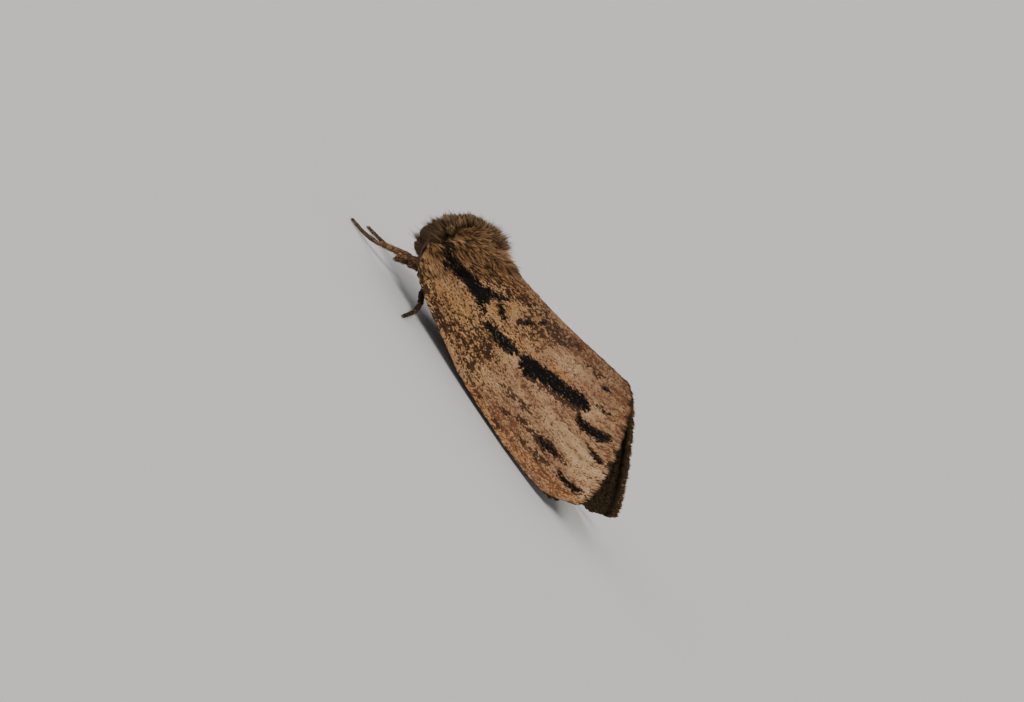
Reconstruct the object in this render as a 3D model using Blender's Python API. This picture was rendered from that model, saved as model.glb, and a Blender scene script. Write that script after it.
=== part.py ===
# A stout, woolly noctuid moth at rest, life size, with its forewings closed over it as a steep tent.
# Metres, +Z up. The head faces -Y, the moth's left side is +X, and the feet stand at z = 0.
# Dimensions are in millimetres. The pieces are shaped with one unit to the millimetre, because the cuts
# between them are finer than a boolean's tolerance in metres, and life_size() brings them to metres.
# Stations along the body are measured from the back of the thorax, and place() sets them in the frame.

from math import cos, pi, sin

import bmesh
import bpy
from mathutils import Matrix, Vector

METRES_PER_MM = 0.001
CENTRE_Y = 4.29              # the middle of the whole length, which goes to the origin
GAP = 0.2                    # thin cut between two pieces that meet
MIDLINE = 0.1                # how near a wing comes to the plane between left and right

WING_THICKNESS = 0.5
RIDGE = ((0.30, 1.0, 6.62), (0.24, 5.5, 7.2), (0.28, 10.85, 8.15))      # inner edge, base to tornus
COSTA = (                    # leading edge, shoulder to wing tip
    (2.50, -3.45, 3.35), (2.95, -2.45, 1.95), (3.18, -0.6, 1.28), (3.45, 1.9, 0.84), (3.98, 5.6, 0.32),
    (4.40, 9.6, 0.21), (4.50, 11.7, 0.21), (4.26, 14.9, 0.52), (3.52, 16.84, 2.03),
)
ROOF_OUT = Vector((0.866, 0.0, 0.5))      # the way the roof of the tent faces on the left
ROOF_CROWN = 0.66                         # how far the roof swells at its base
ROOF_SWELL = 0.25                         # what its middle adds to that
ROOF_HOLLOW = 1.05                        # what its end takes away, so the tip flares
MARGIN_REACH = 1.72                       # how far the outer margin bows past tornus and tip

HINDWING_DEPTH = 0.75                     # from the forewing's face to the hindwing's
HINDWING_THICKNESS = 0.4
HINDWING_LENGTH = (0.24, 0.80)            # share of the forewing that it lies behind
HINDWING_WIDTH = (0.20, 0.70)
HINDWING_ROUNDING = 0.2                   # how much shorter it is along its two edges

HEAD_CENTRE = (0.0, -4.2, 3.75)
HEAD_RADII = (1.2, 1.15, 1.15)
EYE_CENTRE = (0.98, -4.47, 3.52)
EYE_RADIUS = 0.56

SECTION_SIDES = 24
# Woolly thorax: station, height of the middle, half width, rise above it, drop below it.
THORAX_SECTIONS = (
    (-5.00, 4.95, 0.50, 0.35, 0.25), (-4.75, 4.90, 1.10, 0.92, 0.70), (-4.25, 4.80, 1.70, 1.60, 1.35),
    (-3.50, 4.65, 2.20, 2.35, 2.30), (-2.40, 4.55, 2.48, 2.95, 2.40), (-1.20, 4.50, 2.50, 3.14, 2.38),
    (-0.10, 4.45, 2.25, 2.78, 2.25), (0.60, 4.35, 1.75, 2.55, 1.95), (0.90, 4.30, 1.20, 2.10, 1.50),
)
ABDOMEN_SECTIONS = (
    (1.10, 3.75, 0.85, 0.95, 1.00), (1.50, 3.70, 1.10, 1.25, 1.40), (3.00, 3.45, 1.25, 1.45, 1.65),
    (5.20, 3.05, 1.22, 1.40, 1.50), (7.60, 2.70, 1.05, 1.20, 1.25), (9.60, 2.45, 0.85, 0.95, 0.95),
    (10.9, 2.35, 0.60, 0.62, 0.62), (11.5, 2.32, 0.25, 0.25, 0.25),
)
COLLAR_CUT = ((0.0, -4.0, 5.6), (0.0, -0.88, 0.47))      # a point on the cut, and the way it faces
TEGULA_CUT = ((1.52, 0.0, 6.2), (0.90, 0.0, 0.43))

PALP_PATH = ((0.42, -4.02, 2.26), (0.44, -4.42, 2.30), (0.45, -4.80, 2.46))
ANTENNA_PATH = (
    (1.28, -4.84, 4.24), (1.68, -4.68, 4.05), (1.96, -4.42, 3.66), (2.08, -4.10, 3.14), (1.98, -3.62, 2.55),
    (1.95, -2.80, 2.05), (2.05, -1.60, 1.72), (2.12, -0.40, 1.66), (2.20, 1.20, 1.60), (2.30, 3.20, 1.50),
)
ANTENNA_RADIUS = 0.25

# Each leg: its segments from the body outward, with their paths and the radius along them.
LEGS = {
    "foreleg": {
        "coxa": (((0.62, -3.30, 1.72), (0.88, -4.00, 1.32)), (0.34, 0.28)),
        "femur": (((1.20, -4.50, 0.90), (1.48, -3.80, 1.34)), (0.25, 0.26)),
        "tibia": (((1.84, -3.70, 1.88), (1.82, -4.80, 1.27), (1.80, -5.72, 0.76)), (0.27, 0.30, 0.22)),
        "tarsus": (((1.79, -6.08, 0.57), (1.62, -7.02, 0.29), (1.38, -8.45, 0.12)), (0.20, 0.18, 0.15)),
    },
    "midleg": {
        "coxa": (((0.72, -1.90, 1.70), (1.00, -1.72, 1.22)), (0.36, 0.30)),
        "femur": (((1.30, -1.50, 0.95), (2.36, -0.64, 0.80)), (0.26, 0.25)),
        "tibia": (((2.62, -0.44, 0.70), (3.30, -0.10, 0.55), (3.90, 0.16, 0.50)), (0.23, 0.24, 0.20)),
        "tarsus": (((4.25, 0.28, 0.46), (5.10, 0.52, 0.30), (6.18, 0.77, 0.12)), (0.19, 0.18, 0.15)),
    },
    "hindleg": {
        "coxa": (((0.72, -0.45, 1.70), (0.95, -0.05, 1.25)), (0.34, 0.28)),
        "femur": (((1.08, 0.28, 1.05), (2.02, 2.50, 0.88)), (0.26, 0.24)),
        "tibia": (((2.12, 2.82, 0.82), (2.32, 4.40, 0.66), (2.48, 5.80, 0.46)), (0.21, 0.23, 0.19)),
        "tarsus": (((2.53, 6.14, 0.38), (2.60, 7.00, 0.17), (2.78, 8.60, 0.12)), (0.18, 0.17, 0.15)),
    },
}
LEG_SIDES = 8


def place(x, station, z):
    return Vector((x, station - CENTRE_Y, z))


def clear_scene():
    for old in list(bpy.data.objects):
        bpy.data.objects.remove(old, do_unlink=True)


def finish_material(name, colour, roughness):
    finish = bpy.data.materials.new(name)
    finish.use_nodes = True
    shader = finish.node_tree.nodes["Principled BSDF"]
    shader.inputs["Base Color"].default_value = (*colour, 1.0)
    shader.inputs["Roughness"].default_value = roughness
    shader.inputs["Metallic"].default_value = 0.0
    return finish


def add_object(name, shape, finish, smooth=True):
    mesh = bpy.data.meshes.new(name)
    shape.to_mesh(mesh)
    shape.free()
    if smooth:
        mesh.shade_smooth()
    mesh.materials.append(finish)
    thing = bpy.data.objects.new(name, mesh)
    bpy.context.collection.objects.link(thing)
    return thing


def closed_shape(shape):
    """Faces made to agree, and then to point outwards."""
    bmesh.ops.recalc_face_normals(shape, faces=shape.faces[:])
    if shape.calc_volume(signed=True) < 0:
        bmesh.ops.reverse_faces(shape, faces=shape.faces[:])
    return shape


def mirrored(shape, side):
    """A shape built on the left, or its copy on the right when side is -1."""
    if side < 0:
        bmesh.ops.scale(shape, vec=(-1.0, 1.0, 1.0), verts=shape.verts[:])
    return closed_shape(shape)


def side_name(side):
    return "left" if side > 0 else "right"


# --- curves and lofted bodies -------------------------------------------------------------------

def spline(points, share):
    """A smooth curve through the points, read at a share of its length."""
    points = [Vector(point) for point in points]
    steps = [(b - a).length for a, b in zip(points, points[1:])]
    reach = share * sum(steps)
    index = 0
    while index < len(steps) - 1 and reach > steps[index]:
        reach -= steps[index]
        index += 1
    u = reach / steps[index]
    b, c = points[index], points[index + 1]
    a = points[index - 1] if index > 0 else 2 * b - c
    d = points[index + 2] if index + 2 < len(points) else 2 * c - b
    return 0.5 * (2 * b + (c - a) * u + (2 * a - 5 * b + 4 * c - d) * u ** 2 + (3 * b - a - 3 * c + d) * u ** 3)


def blend_values(values, share):
    place = share * (len(values) - 1)
    index = min(int(place), len(values) - 2)
    return values[index] + (values[index + 1] - values[index]) * (place - index)


def loft(rings):
    """A closed body over rings of points, each end closed by one face."""
    shape = bmesh.new()
    rows = [[shape.verts.new(point) for point in ring] for ring in rings]
    count = len(rows[0])
    for row, following in zip(rows, rows[1:]):
        for i in range(count):
            j = (i + 1) % count
            shape.faces.new((row[i], row[j], following[j], following[i]))
    shape.faces.new(rows[0])
    shape.faces.new(rows[-1])
    return closed_shape(shape)


def body_section(station, middle, half_width, rise, drop):
    ring = []
    for i in range(SECTION_SIDES):
        angle = 2 * pi * i / SECTION_SIDES
        height = rise if sin(angle) > 0 else drop
        ring.append(place(half_width * cos(angle), station, middle + height * sin(angle)))
    return ring


def smooth_sections(sections, count):
    """Sections read evenly along smooth curves through the given ones."""
    ends = sections[0][0], sections[-1][0]
    picked = []
    for i in range(count):
        wanted = ends[0] + (ends[1] - ends[0]) * (1 - cos(pi * i / (count - 1))) / 2
        index = 0
        while index < len(sections) - 2 and wanted > sections[index + 1][0]:
            index += 1
        low, high = sections[index], sections[index + 1]
        u = (wanted - low[0]) / (high[0] - low[0])
        before = sections[max(index - 1, 0)]
        after = sections[min(index + 2, len(sections) - 1)]
        values = []
        for a, b, c, d in zip(before, low, high, after):
            values.append(0.5 * (2 * b + (c - a) * u + (2 * a - 5 * b + 4 * c - d) * u ** 2
                                 + (3 * b - a - 3 * c + d) * u ** 3))
        picked.append((wanted, *values[1:]))
    return picked


def limb(path, radii, steps, sides):
    """A round limb along a path, with blunt ends and a flat where it meets the floor."""
    rings = []
    for i in range(steps + 1):
        share = i / steps
        centre = place(*spline(path, share))
        ahead = spline(path, min(share + 0.02, 1.0)) - spline(path, max(share - 0.02, 0.0))
        ahead.normalize()
        turn = ahead.to_track_quat("Z", "X")
        radius = blend_values(radii, share)
        rings.append(limb_ring(centre, turn, radius, sides))
        blunt = 0.35 * radius
        if i == 0:
            rings.insert(0, limb_ring(centre - ahead * blunt, turn, 0.6 * radius, sides))
        if i == steps:
            rings.append(limb_ring(centre + ahead * blunt, turn, 0.6 * radius, sides))
    return loft(rings)


def limb_ring(centre, turn, radius, sides):
    ring = []
    for i in range(sides):
        angle = 2 * pi * (i + 0.5) / sides
        point = centre + turn @ Vector((radius * cos(angle), radius * sin(angle), 0.0))
        point.z = max(point.z, 0.0)
        ring.append(point)
    return ring


def ellipsoid(centre, radii, segments, rings):
    shape = bmesh.new()
    bmesh.ops.create_uvsphere(shape, u_segments=segments, v_segments=rings, radius=1.0)
    bmesh.ops.transform(shape, matrix=Matrix.Diagonal((*radii, 1.0)), verts=shape.verts[:])
    bmesh.ops.translate(shape, vec=place(*centre), verts=shape.verts[:])
    return closed_shape(shape)


# --- cutting ------------------------------------------------------------------------------------

def keep_side(shape, point, facing):
    """Cuts a convex body at a plane, drops what the plane faces, and closes the cut."""
    parts = shape.verts[:] + shape.edges[:] + shape.faces[:]
    cut = bmesh.ops.bisect_plane(shape, geom=parts, plane_co=place(*point), plane_no=Vector(facing),
                                 clear_outer=True, dist=1e-4)
    rim = [part for part in cut["geom_cut"] if isinstance(part, bmesh.types.BMEdge)]
    bmesh.ops.contextual_create(shape, geom=rim)
    return closed_shape(shape)


def past(plane, offset):
    """The plane moved along its own facing."""
    point, facing = Vector(plane[0]), Vector(plane[1]).normalized()
    return point + facing * offset, facing


def in_front(shape, plane):
    point, facing = past(plane, GAP / 2)
    return keep_side(shape, point, -facing)


def behind(shape, plane):
    point, facing = past(plane, -GAP / 2)
    return keep_side(shape, point, facing)


def on_side(plane, side):
    (px, py, pz), (nx, ny, nz) = plane
    return (side * px, py, pz), (side * nx, ny, nz)


def cut_away(thing, cutter):
    cut = thing.modifiers.new("room for " + cutter.name, "BOOLEAN")
    cut.operation = "DIFFERENCE"
    cut.solver = "MANIFOLD"      # EXACT loses the thorax where the rooms for both wings cross
    cut.object = cutter


def make_cutter(name, shape, finish):
    cutter = add_object(name, shape, finish, smooth=False)
    cutter.hide_render = True
    cutter.display_type = "WIRE"
    return cutter


# --- wings --------------------------------------------------------------------------------------

def roof_point(s, t):
    """The left forewing's face: s runs from base to outer edge, t from the ridge to the costa."""
    point = spline(RIDGE, s).lerp(spline(COSTA, s), t)
    crown = ROOF_CROWN + ROOF_SWELL * sin(pi * min(max(s, 0.0), 1.0)) - ROOF_HOLLOW * max(s, 0.0) ** 2.5
    inside = min(max(t, 0.0), 1.0)
    return point + ROOF_OUT * crown * 4 * inside * (1 - inside)


def roof_normal(s, t):
    step = 0.01
    t = min(max(t, 0.03), 0.97)
    along = roof_point(s + step, t) - roof_point(s - step, t)
    across = roof_point(s, t + step) - roof_point(s, t - step)
    return across.cross(along).normalized()


def margin_bow(s, t):
    """How far the wing reaches past the straight line from tornus to tip."""
    inside = min(max(t, 0.0), 1.0)
    bow = inside ** 0.33 * (1 - inside) ** 0.6 / 0.546
    return Vector((0.05, 1.0, 0.05)) * MARGIN_REACH * bow * max(s, 0.0) ** 2


def sheet_point(s, t, depth, nearest):
    point = roof_point(s, t) + margin_bow(s, t) - roof_normal(s, t) * depth
    point.x = max(point.x, nearest)
    return place(*point)


def even_shares(count, bounds):
    return [bounds[0] + (bounds[1] - bounds[0]) * i / count for i in range(count + 1)]


def eased_shares(count, bounds):
    """Shares drawn closer together at both ends, where the outline turns."""
    eased = []
    for i in range(count + 1):
        u = i / count
        eased.append(bounds[0] + (bounds[1] - bounds[0]) * (0.4 * u + 0.6 * (1 - cos(pi * u)) / 2))
    return eased


def sheet(lengths, widths, outer_depth, inner_depth, nearest=MIDLINE, rounding=0.0):
    """A closed sheet between two depths under the roof, no nearer the midline than nearest."""
    shape = bmesh.new()
    faces = []
    for depth in (outer_depth, inner_depth):
        grid = []
        for s in lengths:
            row = []
            for j, t in enumerate(widths):
                off_middle = 2 * j / (len(widths) - 1) - 1
                reach = lengths[0] + (s - lengths[0]) * (1 - rounding * off_middle ** 2)
                row.append(shape.verts.new(sheet_point(reach, t, depth, nearest)))
            grid.append(row)
        faces.append(grid)
    for grid in faces:
        for i in range(len(lengths) - 1):
            for j in range(len(widths) - 1):
                shape.faces.new((grid[i][j], grid[i][j + 1], grid[i + 1][j + 1], grid[i + 1][j]))
    outer, inner = faces
    for i in range(len(lengths) - 1):
        for j in (0, -1):
            shape.faces.new((outer[i][j], outer[i + 1][j], inner[i + 1][j], inner[i][j]))
    for j in range(len(widths) - 1):
        for i in (0, -1):
            shape.faces.new((outer[i][j], outer[i][j + 1], inner[i][j + 1], inner[i][j]))
    return closed_shape(shape)


def build_forewing(side, finish):
    shape = sheet(even_shares(20, (0.0, 1.0)), eased_shares(12, (0.0, 1.0)), 0.0, WING_THICKNESS)
    return add_object("forewing_" + side_name(side), mirrored(shape, side), finish)


def build_hindwing(side, finish):
    shape = sheet(even_shares(14, HINDWING_LENGTH), eased_shares(7, HINDWING_WIDTH), HINDWING_DEPTH,
                  HINDWING_DEPTH + HINDWING_THICKNESS, rounding=HINDWING_ROUNDING)
    return add_object("hindwing_" + side_name(side), mirrored(shape, side), finish)


def build_wing_room(side, finish):
    """What the woolly body leaves free for the base of a forewing, with the cut round it."""
    shape = sheet(even_shares(8, (-0.03, 0.34)), even_shares(8, (-0.04, 1.06)), -1.8, WING_THICKNESS + GAP, -2.0)
    return make_cutter("wing_room_" + side_name(side), mirrored(shape, side), finish)


# --- head and trunk -----------------------------------------------------------------------------

def build_head(finish, cutters):
    head = add_object("head", ellipsoid(HEAD_CENTRE, HEAD_RADII, 20, 12), finish)
    for cutter in cutters:
        cut_away(head, cutter)
    return head


def build_eye(side, finish):
    x, y, z = EYE_CENTRE
    return add_object("eye_" + side_name(side), ellipsoid((side * x, y, z), (EYE_RADIUS,) * 3, 14, 8), finish)


def build_eye_room(side, finish):
    x, y, z = EYE_CENTRE
    room = (EYE_RADIUS + GAP / 2,) * 3
    return make_cutter("eye_room_" + side_name(side), ellipsoid((side * x, y, z), room, 14, 8), finish)


def build_head_room(finish):
    room = [radius + GAP for radius in HEAD_RADII]
    return make_cutter("head_room", ellipsoid(HEAD_CENTRE, room, 16, 10), finish)


def woolly_thorax():
    return loft([body_section(*section) for section in smooth_sections(THORAX_SECTIONS, 15)])


def build_thorax(finish, cutters):
    shape = behind(woolly_thorax(), COLLAR_CUT)
    for side in (1, -1):
        shape = behind(shape, on_side(TEGULA_CUT, side))
    thorax = add_object("thorax", shape, finish)
    for cutter in cutters:
        cut_away(thorax, cutter)
    return thorax


def build_collar(finish, cutters):
    collar = add_object("collar", in_front(woolly_thorax(), COLLAR_CUT), finish)
    for cutter in cutters:
        cut_away(collar, cutter)
    return collar


def build_tegula(side, finish, cutter):
    shape = in_front(behind(woolly_thorax(), COLLAR_CUT), on_side(TEGULA_CUT, side))
    tegula = add_object("tegula_" + side_name(side), shape, finish)
    cut_away(tegula, cutter)
    return tegula


def build_abdomen(finish):
    rings = [body_section(*section) for section in smooth_sections(ABDOMEN_SECTIONS, 13)]
    return add_object("abdomen", loft(rings), finish)


# --- feelers and legs ---------------------------------------------------------------------------

def build_palp(side, finish):
    shape = mirrored(limb(PALP_PATH, (0.24, 0.26, 0.16), 4, LEG_SIDES), side)
    return add_object("palp_" + side_name(side), shape, finish)


def build_antenna(side, finish):
    shape = limb(ANTENNA_PATH, (ANTENNA_RADIUS,) * 2, 18, LEG_SIDES)
    return add_object("antenna_" + side_name(side), mirrored(shape, side), finish)


def build_leg(leg, side, finish):
    for segment, (path, radii) in LEGS[leg].items():
        shape = mirrored(limb(path, radii, 2 * len(path) - 1, LEG_SIDES), side)
        add_object("_".join((leg, side_name(side), segment)), shape, finish)


# --- the whole moth -----------------------------------------------------------------------------

def life_size():
    """Carries out every cut, removes the cutters, and brings the pieces from millimetres to metres."""
    view = bpy.context.evaluated_depsgraph_get()
    pieces = [thing for thing in bpy.data.objects if not thing.hide_render]
    meshes = [bpy.data.meshes.new_from_object(thing.evaluated_get(view)) for thing in pieces]
    for piece, mesh in zip(pieces, meshes):
        piece.modifiers.clear()
        mesh.transform(Matrix.Scale(METRES_PER_MM, 4))
        mesh.name = piece.name
        piece.data = mesh
    for cutter in [thing for thing in bpy.data.objects if thing.hide_render]:
        bpy.data.objects.remove(cutter, do_unlink=True)


def build_moth():
    clear_scene()
    wing_scales = finish_material("wing_scales", (0.30, 0.20, 0.13), 0.85)
    hindwing_scales = finish_material("hindwing_scales", (0.20, 0.16, 0.12), 0.85)
    wool = finish_material("wool", (0.16, 0.11, 0.07), 0.95)
    leg_scales = finish_material("leg_scales", (0.22, 0.13, 0.08), 0.8)
    feeler = finish_material("feeler", (0.20, 0.14, 0.09), 0.7)
    eye_shell = finish_material("eye_shell", (0.02, 0.015, 0.01), 0.25)

    head_room = build_head_room(wool)
    eye_rooms = [build_eye_room(side, wool) for side in (1, -1)]
    wing_rooms = [build_wing_room(side, wool) for side in (1, -1)]

    build_head(wool, eye_rooms)
    build_collar(wool, [head_room])
    build_thorax(wool, [head_room, *wing_rooms])
    build_abdomen(wool)
    for side, wing_room in zip((1, -1), wing_rooms):
        build_tegula(side, wool, wing_room)
        build_eye(side, eye_shell)
        build_palp(side, wool)
        build_antenna(side, feeler)
        build_forewing(side, wing_scales)
        build_hindwing(side, hindwing_scales)
        for leg in LEGS:
            build_leg(leg, side, leg_scales)
    life_size()


build_moth()
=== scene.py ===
from math import cos, pi, radians, sin

import bpy
import numpy as np
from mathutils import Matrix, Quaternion, Vector, noise
from mathutils.bvhtree import BVHTree
from mathutils.kdtree import KDTree


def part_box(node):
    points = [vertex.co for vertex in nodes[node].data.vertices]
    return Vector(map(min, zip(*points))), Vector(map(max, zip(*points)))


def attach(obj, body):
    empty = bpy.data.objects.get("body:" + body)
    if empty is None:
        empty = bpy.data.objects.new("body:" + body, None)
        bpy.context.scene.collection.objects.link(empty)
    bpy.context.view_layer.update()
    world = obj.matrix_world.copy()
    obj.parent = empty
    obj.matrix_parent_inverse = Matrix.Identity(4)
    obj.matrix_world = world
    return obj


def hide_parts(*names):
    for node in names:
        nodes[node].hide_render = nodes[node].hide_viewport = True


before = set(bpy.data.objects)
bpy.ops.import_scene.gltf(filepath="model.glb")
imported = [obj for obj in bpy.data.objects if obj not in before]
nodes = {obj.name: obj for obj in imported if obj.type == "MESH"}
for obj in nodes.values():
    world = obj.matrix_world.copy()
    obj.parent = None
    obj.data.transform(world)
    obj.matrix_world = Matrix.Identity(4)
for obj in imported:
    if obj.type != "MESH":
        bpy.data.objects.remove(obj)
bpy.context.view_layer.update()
mm = 0.001
sides = {"left": 1, "right": -1}
tail = np.array([0.0, 1.0, 0.0])
skyward = np.array([0.0, 0.0, 1.0])
leftward = np.array([1.0, 0.0, 0.0])
print("frame loaded")


def deselectAll():
    for thing in bpy.context.selected_objects:
        thing.select_set(False)


def unit(vectors):
    return vectors / np.maximum(np.linalg.norm(vectors, axis=-1, keepdims=True), 1e-9)


def column(values):
    return np.asarray(values)[:, None]


def waver(points, scale, seed):
    # smooth random vectors
    noise.seed_set(seed)
    shift = Vector((seed * 7.3, seed * 3.1, seed * 5.7))
    return np.array([noise.noise_vector(Vector(point) * scale + shift) for point in points.tolist()])


def addPiece(name, points, faces):
    # points in millimetres, faces all with the same number of corners
    mesh = bpy.data.meshes.new(name)
    mesh.vertices.add(len(points))
    mesh.vertices.foreach_set("co", (np.asarray(points) * mm).astype(np.float32).ravel())
    faces = np.asarray(faces, np.int32)
    mesh.loops.add(faces.size)
    mesh.loops.foreach_set("vertex_index", faces.ravel())
    mesh.polygons.add(len(faces))
    mesh.polygons.foreach_set("loop_start", np.arange(0, faces.size, faces.shape[1], dtype=np.int32))
    mesh.update(calc_edges=True)
    mesh.shade_smooth()
    piece = bpy.data.objects.new(name, mesh)
    bpy.context.scene.collection.objects.link(piece)
    return piece


def readAll(items, field, width, kind=np.float32):
    values = np.empty(len(items) * width, kind)
    items.foreach_get(field, values)
    return values.reshape(-1, width)


def readMesh(mesh):
    # points in millimetres, and the corners of the triangles
    mesh.calc_loop_triangles()
    points = readAll(mesh.vertices, "co", 3).astype(float) / mm
    return points, readAll(mesh.loop_triangles, "vertices", 3, np.int32)


def addValues(piece, name, values):
    values = np.asarray(values, np.float32)
    kind = "FLOAT_VECTOR" if values.ndim == 2 else "FLOAT"
    field = "vector" if values.ndim == 2 else "value"
    layer = piece.data.attributes.new(name, kind, "POINT")
    layer.data.foreach_set(field, values.ravel())


def addBakeMap(piece, unwrap):
    layer = piece.data.uv_layers.new(name="OFBake")
    corners = readAll(piece.data.loops, "vertex_index", 1, np.int32).ravel()
    layer.data.foreach_set("uv", np.asarray(unwrap, np.float32)[corners].ravel())


def finishPiece(piece, material, replaced=()):
    piece.data.materials.clear()
    piece.data.materials.append(material)
    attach(piece, "root")
    if replaced:
        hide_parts(*replaced)
    return piece


# a tuft's shape is corners (across, along, height) and triangles that face outwards

def bladeShape():
    corners = [(0, 0, 0), (0.5, 0.62, 0), (0, 1, 0), (-0.5, 0.62, 0), (0, 0.58, 1)]
    faces = [(4, 0, 1), (4, 1, 2), (4, 2, 3), (4, 3, 0), (0, 2, 1), (0, 3, 2)]
    return np.array(corners, float), np.array(faces)


def hairShape(rings):
    # rings are (share of the length, share of the width), and the last one is the tip
    corners = []
    faces = [(2, 1, 0)]
    for share, width in rings[:-1]:
        for i in range(3):
            angle = 2 * pi * i / 3
            corners.append((0.5 * width * sin(angle), share, 0.5 * width * cos(angle)))
    corners.append((0, rings[-1][0], 0))
    tip = len(corners) - 1
    for k in range(len(rings) - 2):
        for i in range(3):
            a, b = 3 * k + i, 3 * k + (i + 1) % 3
            faces += [(a, b, b + 3), (a, b + 3, a + 3)]
    last = tip - 3
    for i in range(3):
        faces.append((last + i, last + (i + 1) % 3, tip))
    return np.array(corners, float), np.array(faces)


blade = bladeShape()
shortHair = hairShape(((0, 0.7), (0.5, 1), (1, 0)))
longHair = hairShape(((0, 0.7), (0.35, 1), (0.72, 0.75), (1, 0)))
patch = 0.003       # across each tuft on the bake map


def growTufts(name, shape, coat, side=1):
    # coat holds an array for each of root, ahead, up, length, width, height, bend, unwrap and values
    corners, faces = shape
    count, each = len(coat["root"]), len(corners)
    ahead = unit(coat["ahead"])
    up = unit(coat["up"] - ahead * (coat["up"] * ahead).sum(1, keepdims=True))
    across = np.cross(ahead, up)
    length = coat["length"][:, None, None]
    along = corners[None, :, 1:2]
    points = coat["root"][:, None, :] + ahead[:, None, :] * along * length
    points = points + across[:, None, :] * corners[None, :, 0:1] * coat["width"][:, None, None]
    points = points + up[:, None, :] * corners[None, :, 2:3] * coat["height"][:, None, None]
    points = (points + coat["bend"][:, None, :] * along ** 2 * length).reshape(-1, 3)
    allFaces = (faces[None] + (np.arange(count) * each)[:, None, None]).reshape(-1, 3)
    if side < 0:
        points[:, 0] *= -1
        allFaces = allFaces[:, ::-1]
    piece = addPiece(name, points, allFaces)
    local = np.stack([corners[:, 0], corners[:, 1] - 0.5], 1) * patch
    addBakeMap(piece, (coat["unwrap"][:, None, :] + local[None]).reshape(-1, 2))
    addValues(piece, "along", np.tile(corners[:, 1], count))
    for key, values in coat["values"].items():
        addValues(piece, key, np.repeat(values, each, axis=0))
    print(name, count, "tufts,", len(allFaces), "triangles")
    return piece


class Wire:
    # a socket that takes part in sums; each sum adds its Math node
    def __init__(self, finish, socket):
        self.finish = finish
        self.socket = socket

    def maths(self, operation, first, second):
        return self.finish.add("ShaderNodeMath", {"operation": operation}, {0: first, 1: second})

    def __add__(self, other):
        return self.maths("ADD", self, other)

    def __radd__(self, other):
        return self.maths("ADD", other, self)

    def __sub__(self, other):
        return self.maths("SUBTRACT", self, other)

    def __rsub__(self, other):
        return self.maths("SUBTRACT", other, self)

    def __mul__(self, other):
        return self.maths("MULTIPLY", self, other)

    def __rmul__(self, other):
        return self.maths("MULTIPLY", other, self)

    def __lt__(self, other):
        return self.maths("LESS_THAN", self, other)


class Finish:
    # a material and its tree
    def __init__(self, name):
        self.material = bpy.data.materials.new(name)
        self.material.use_nodes = True
        self.tree = self.material.node_tree
        self.shader = self.tree.nodes["Principled BSDF"]

    def add(self, kind, settings=None, sockets=None, output=0):
        node = self.tree.nodes.new(kind)
        for key, value in (settings or {}).items():
            setattr(node, key, value)
        for key, value in (sockets or {}).items():
            self.feed(node.inputs[key], value)
        return Wire(self, node.outputs[output])

    def feed(self, socket, value):
        if isinstance(value, Wire):
            self.tree.links.new(value.socket, socket)
        elif isinstance(value, tuple) and len(value) == 3 and socket.type == "RGBA":
            socket.default_value = (*value, 1)
        else:
            socket.default_value = value

    def values(self, name, output="Fac"):
        return self.add("ShaderNodeAttribute", {"attribute_name": name}, output=output)

    def place(self, *stretch):
        stretch = stretch or (1.0, 1.0, 1.0)
        return self.add("ShaderNodeVectorMath", {"operation": "MULTIPLY"},
                        {0: self.values("place", "Vector"), 1: stretch})

    def noise(self, vector, scale, detail=2.0, roughness=0.5):
        return self.add("ShaderNodeTexNoise", {}, {"Vector": vector, "Scale": scale, "Detail": detail,
                                                   "Roughness": roughness}, output="Fac")

    def ease(self, value, low, high):
        # 0 below low, 1 above high, smooth between
        return self.add("ShaderNodeMapRange", {"interpolation_type": "SMOOTHSTEP"},
                        {"Value": value, "From Min": low, "From Max": high})

    def mix(self, share, first, second, blend="MIX"):
        return self.add("ShaderNodeMix", {"data_type": "RGBA", "blend_type": blend},
                        {0: share, 6: first, 7: second}, output=2)

    def scaled(self, colour, tone):
        # a colour made darker or lighter
        grey = self.add("ShaderNodeCombineXYZ", {}, {0: tone, 1: tone, 2: tone})
        return self.mix(1.0, colour, grey, "MULTIPLY")

    def shade(self, constants, **changing):
        for name, value in constants.items():
            self.feed(self.shader.inputs[name], value)
        for name, wire in changing.items():
            self.feed(self.shader.inputs[name.replace("_", " ")], wire)
        return self.material


studio = {
    "floor": (0.62, 0.61, 0.59),
    "floorReach": 12.0,
    "room": (0.93, 0.96, 1.0),
    "roomLight": 0.40,
    # each light: the way it comes from, its spread in degrees, strength, colour
    "lights": {
        "keyLight": ((0.62, 0.30, 0.78), 28, 2.2, (1.0, 0.96, 0.90)),
        "fillLight": ((0.50, -0.75, 0.45), 60, 0.6, (0.95, 0.97, 1.0)),
        "rimLight": ((-0.70, -0.25, 0.60), 40, 0.9, (1.0, 0.98, 0.95)),
    },
}


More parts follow.
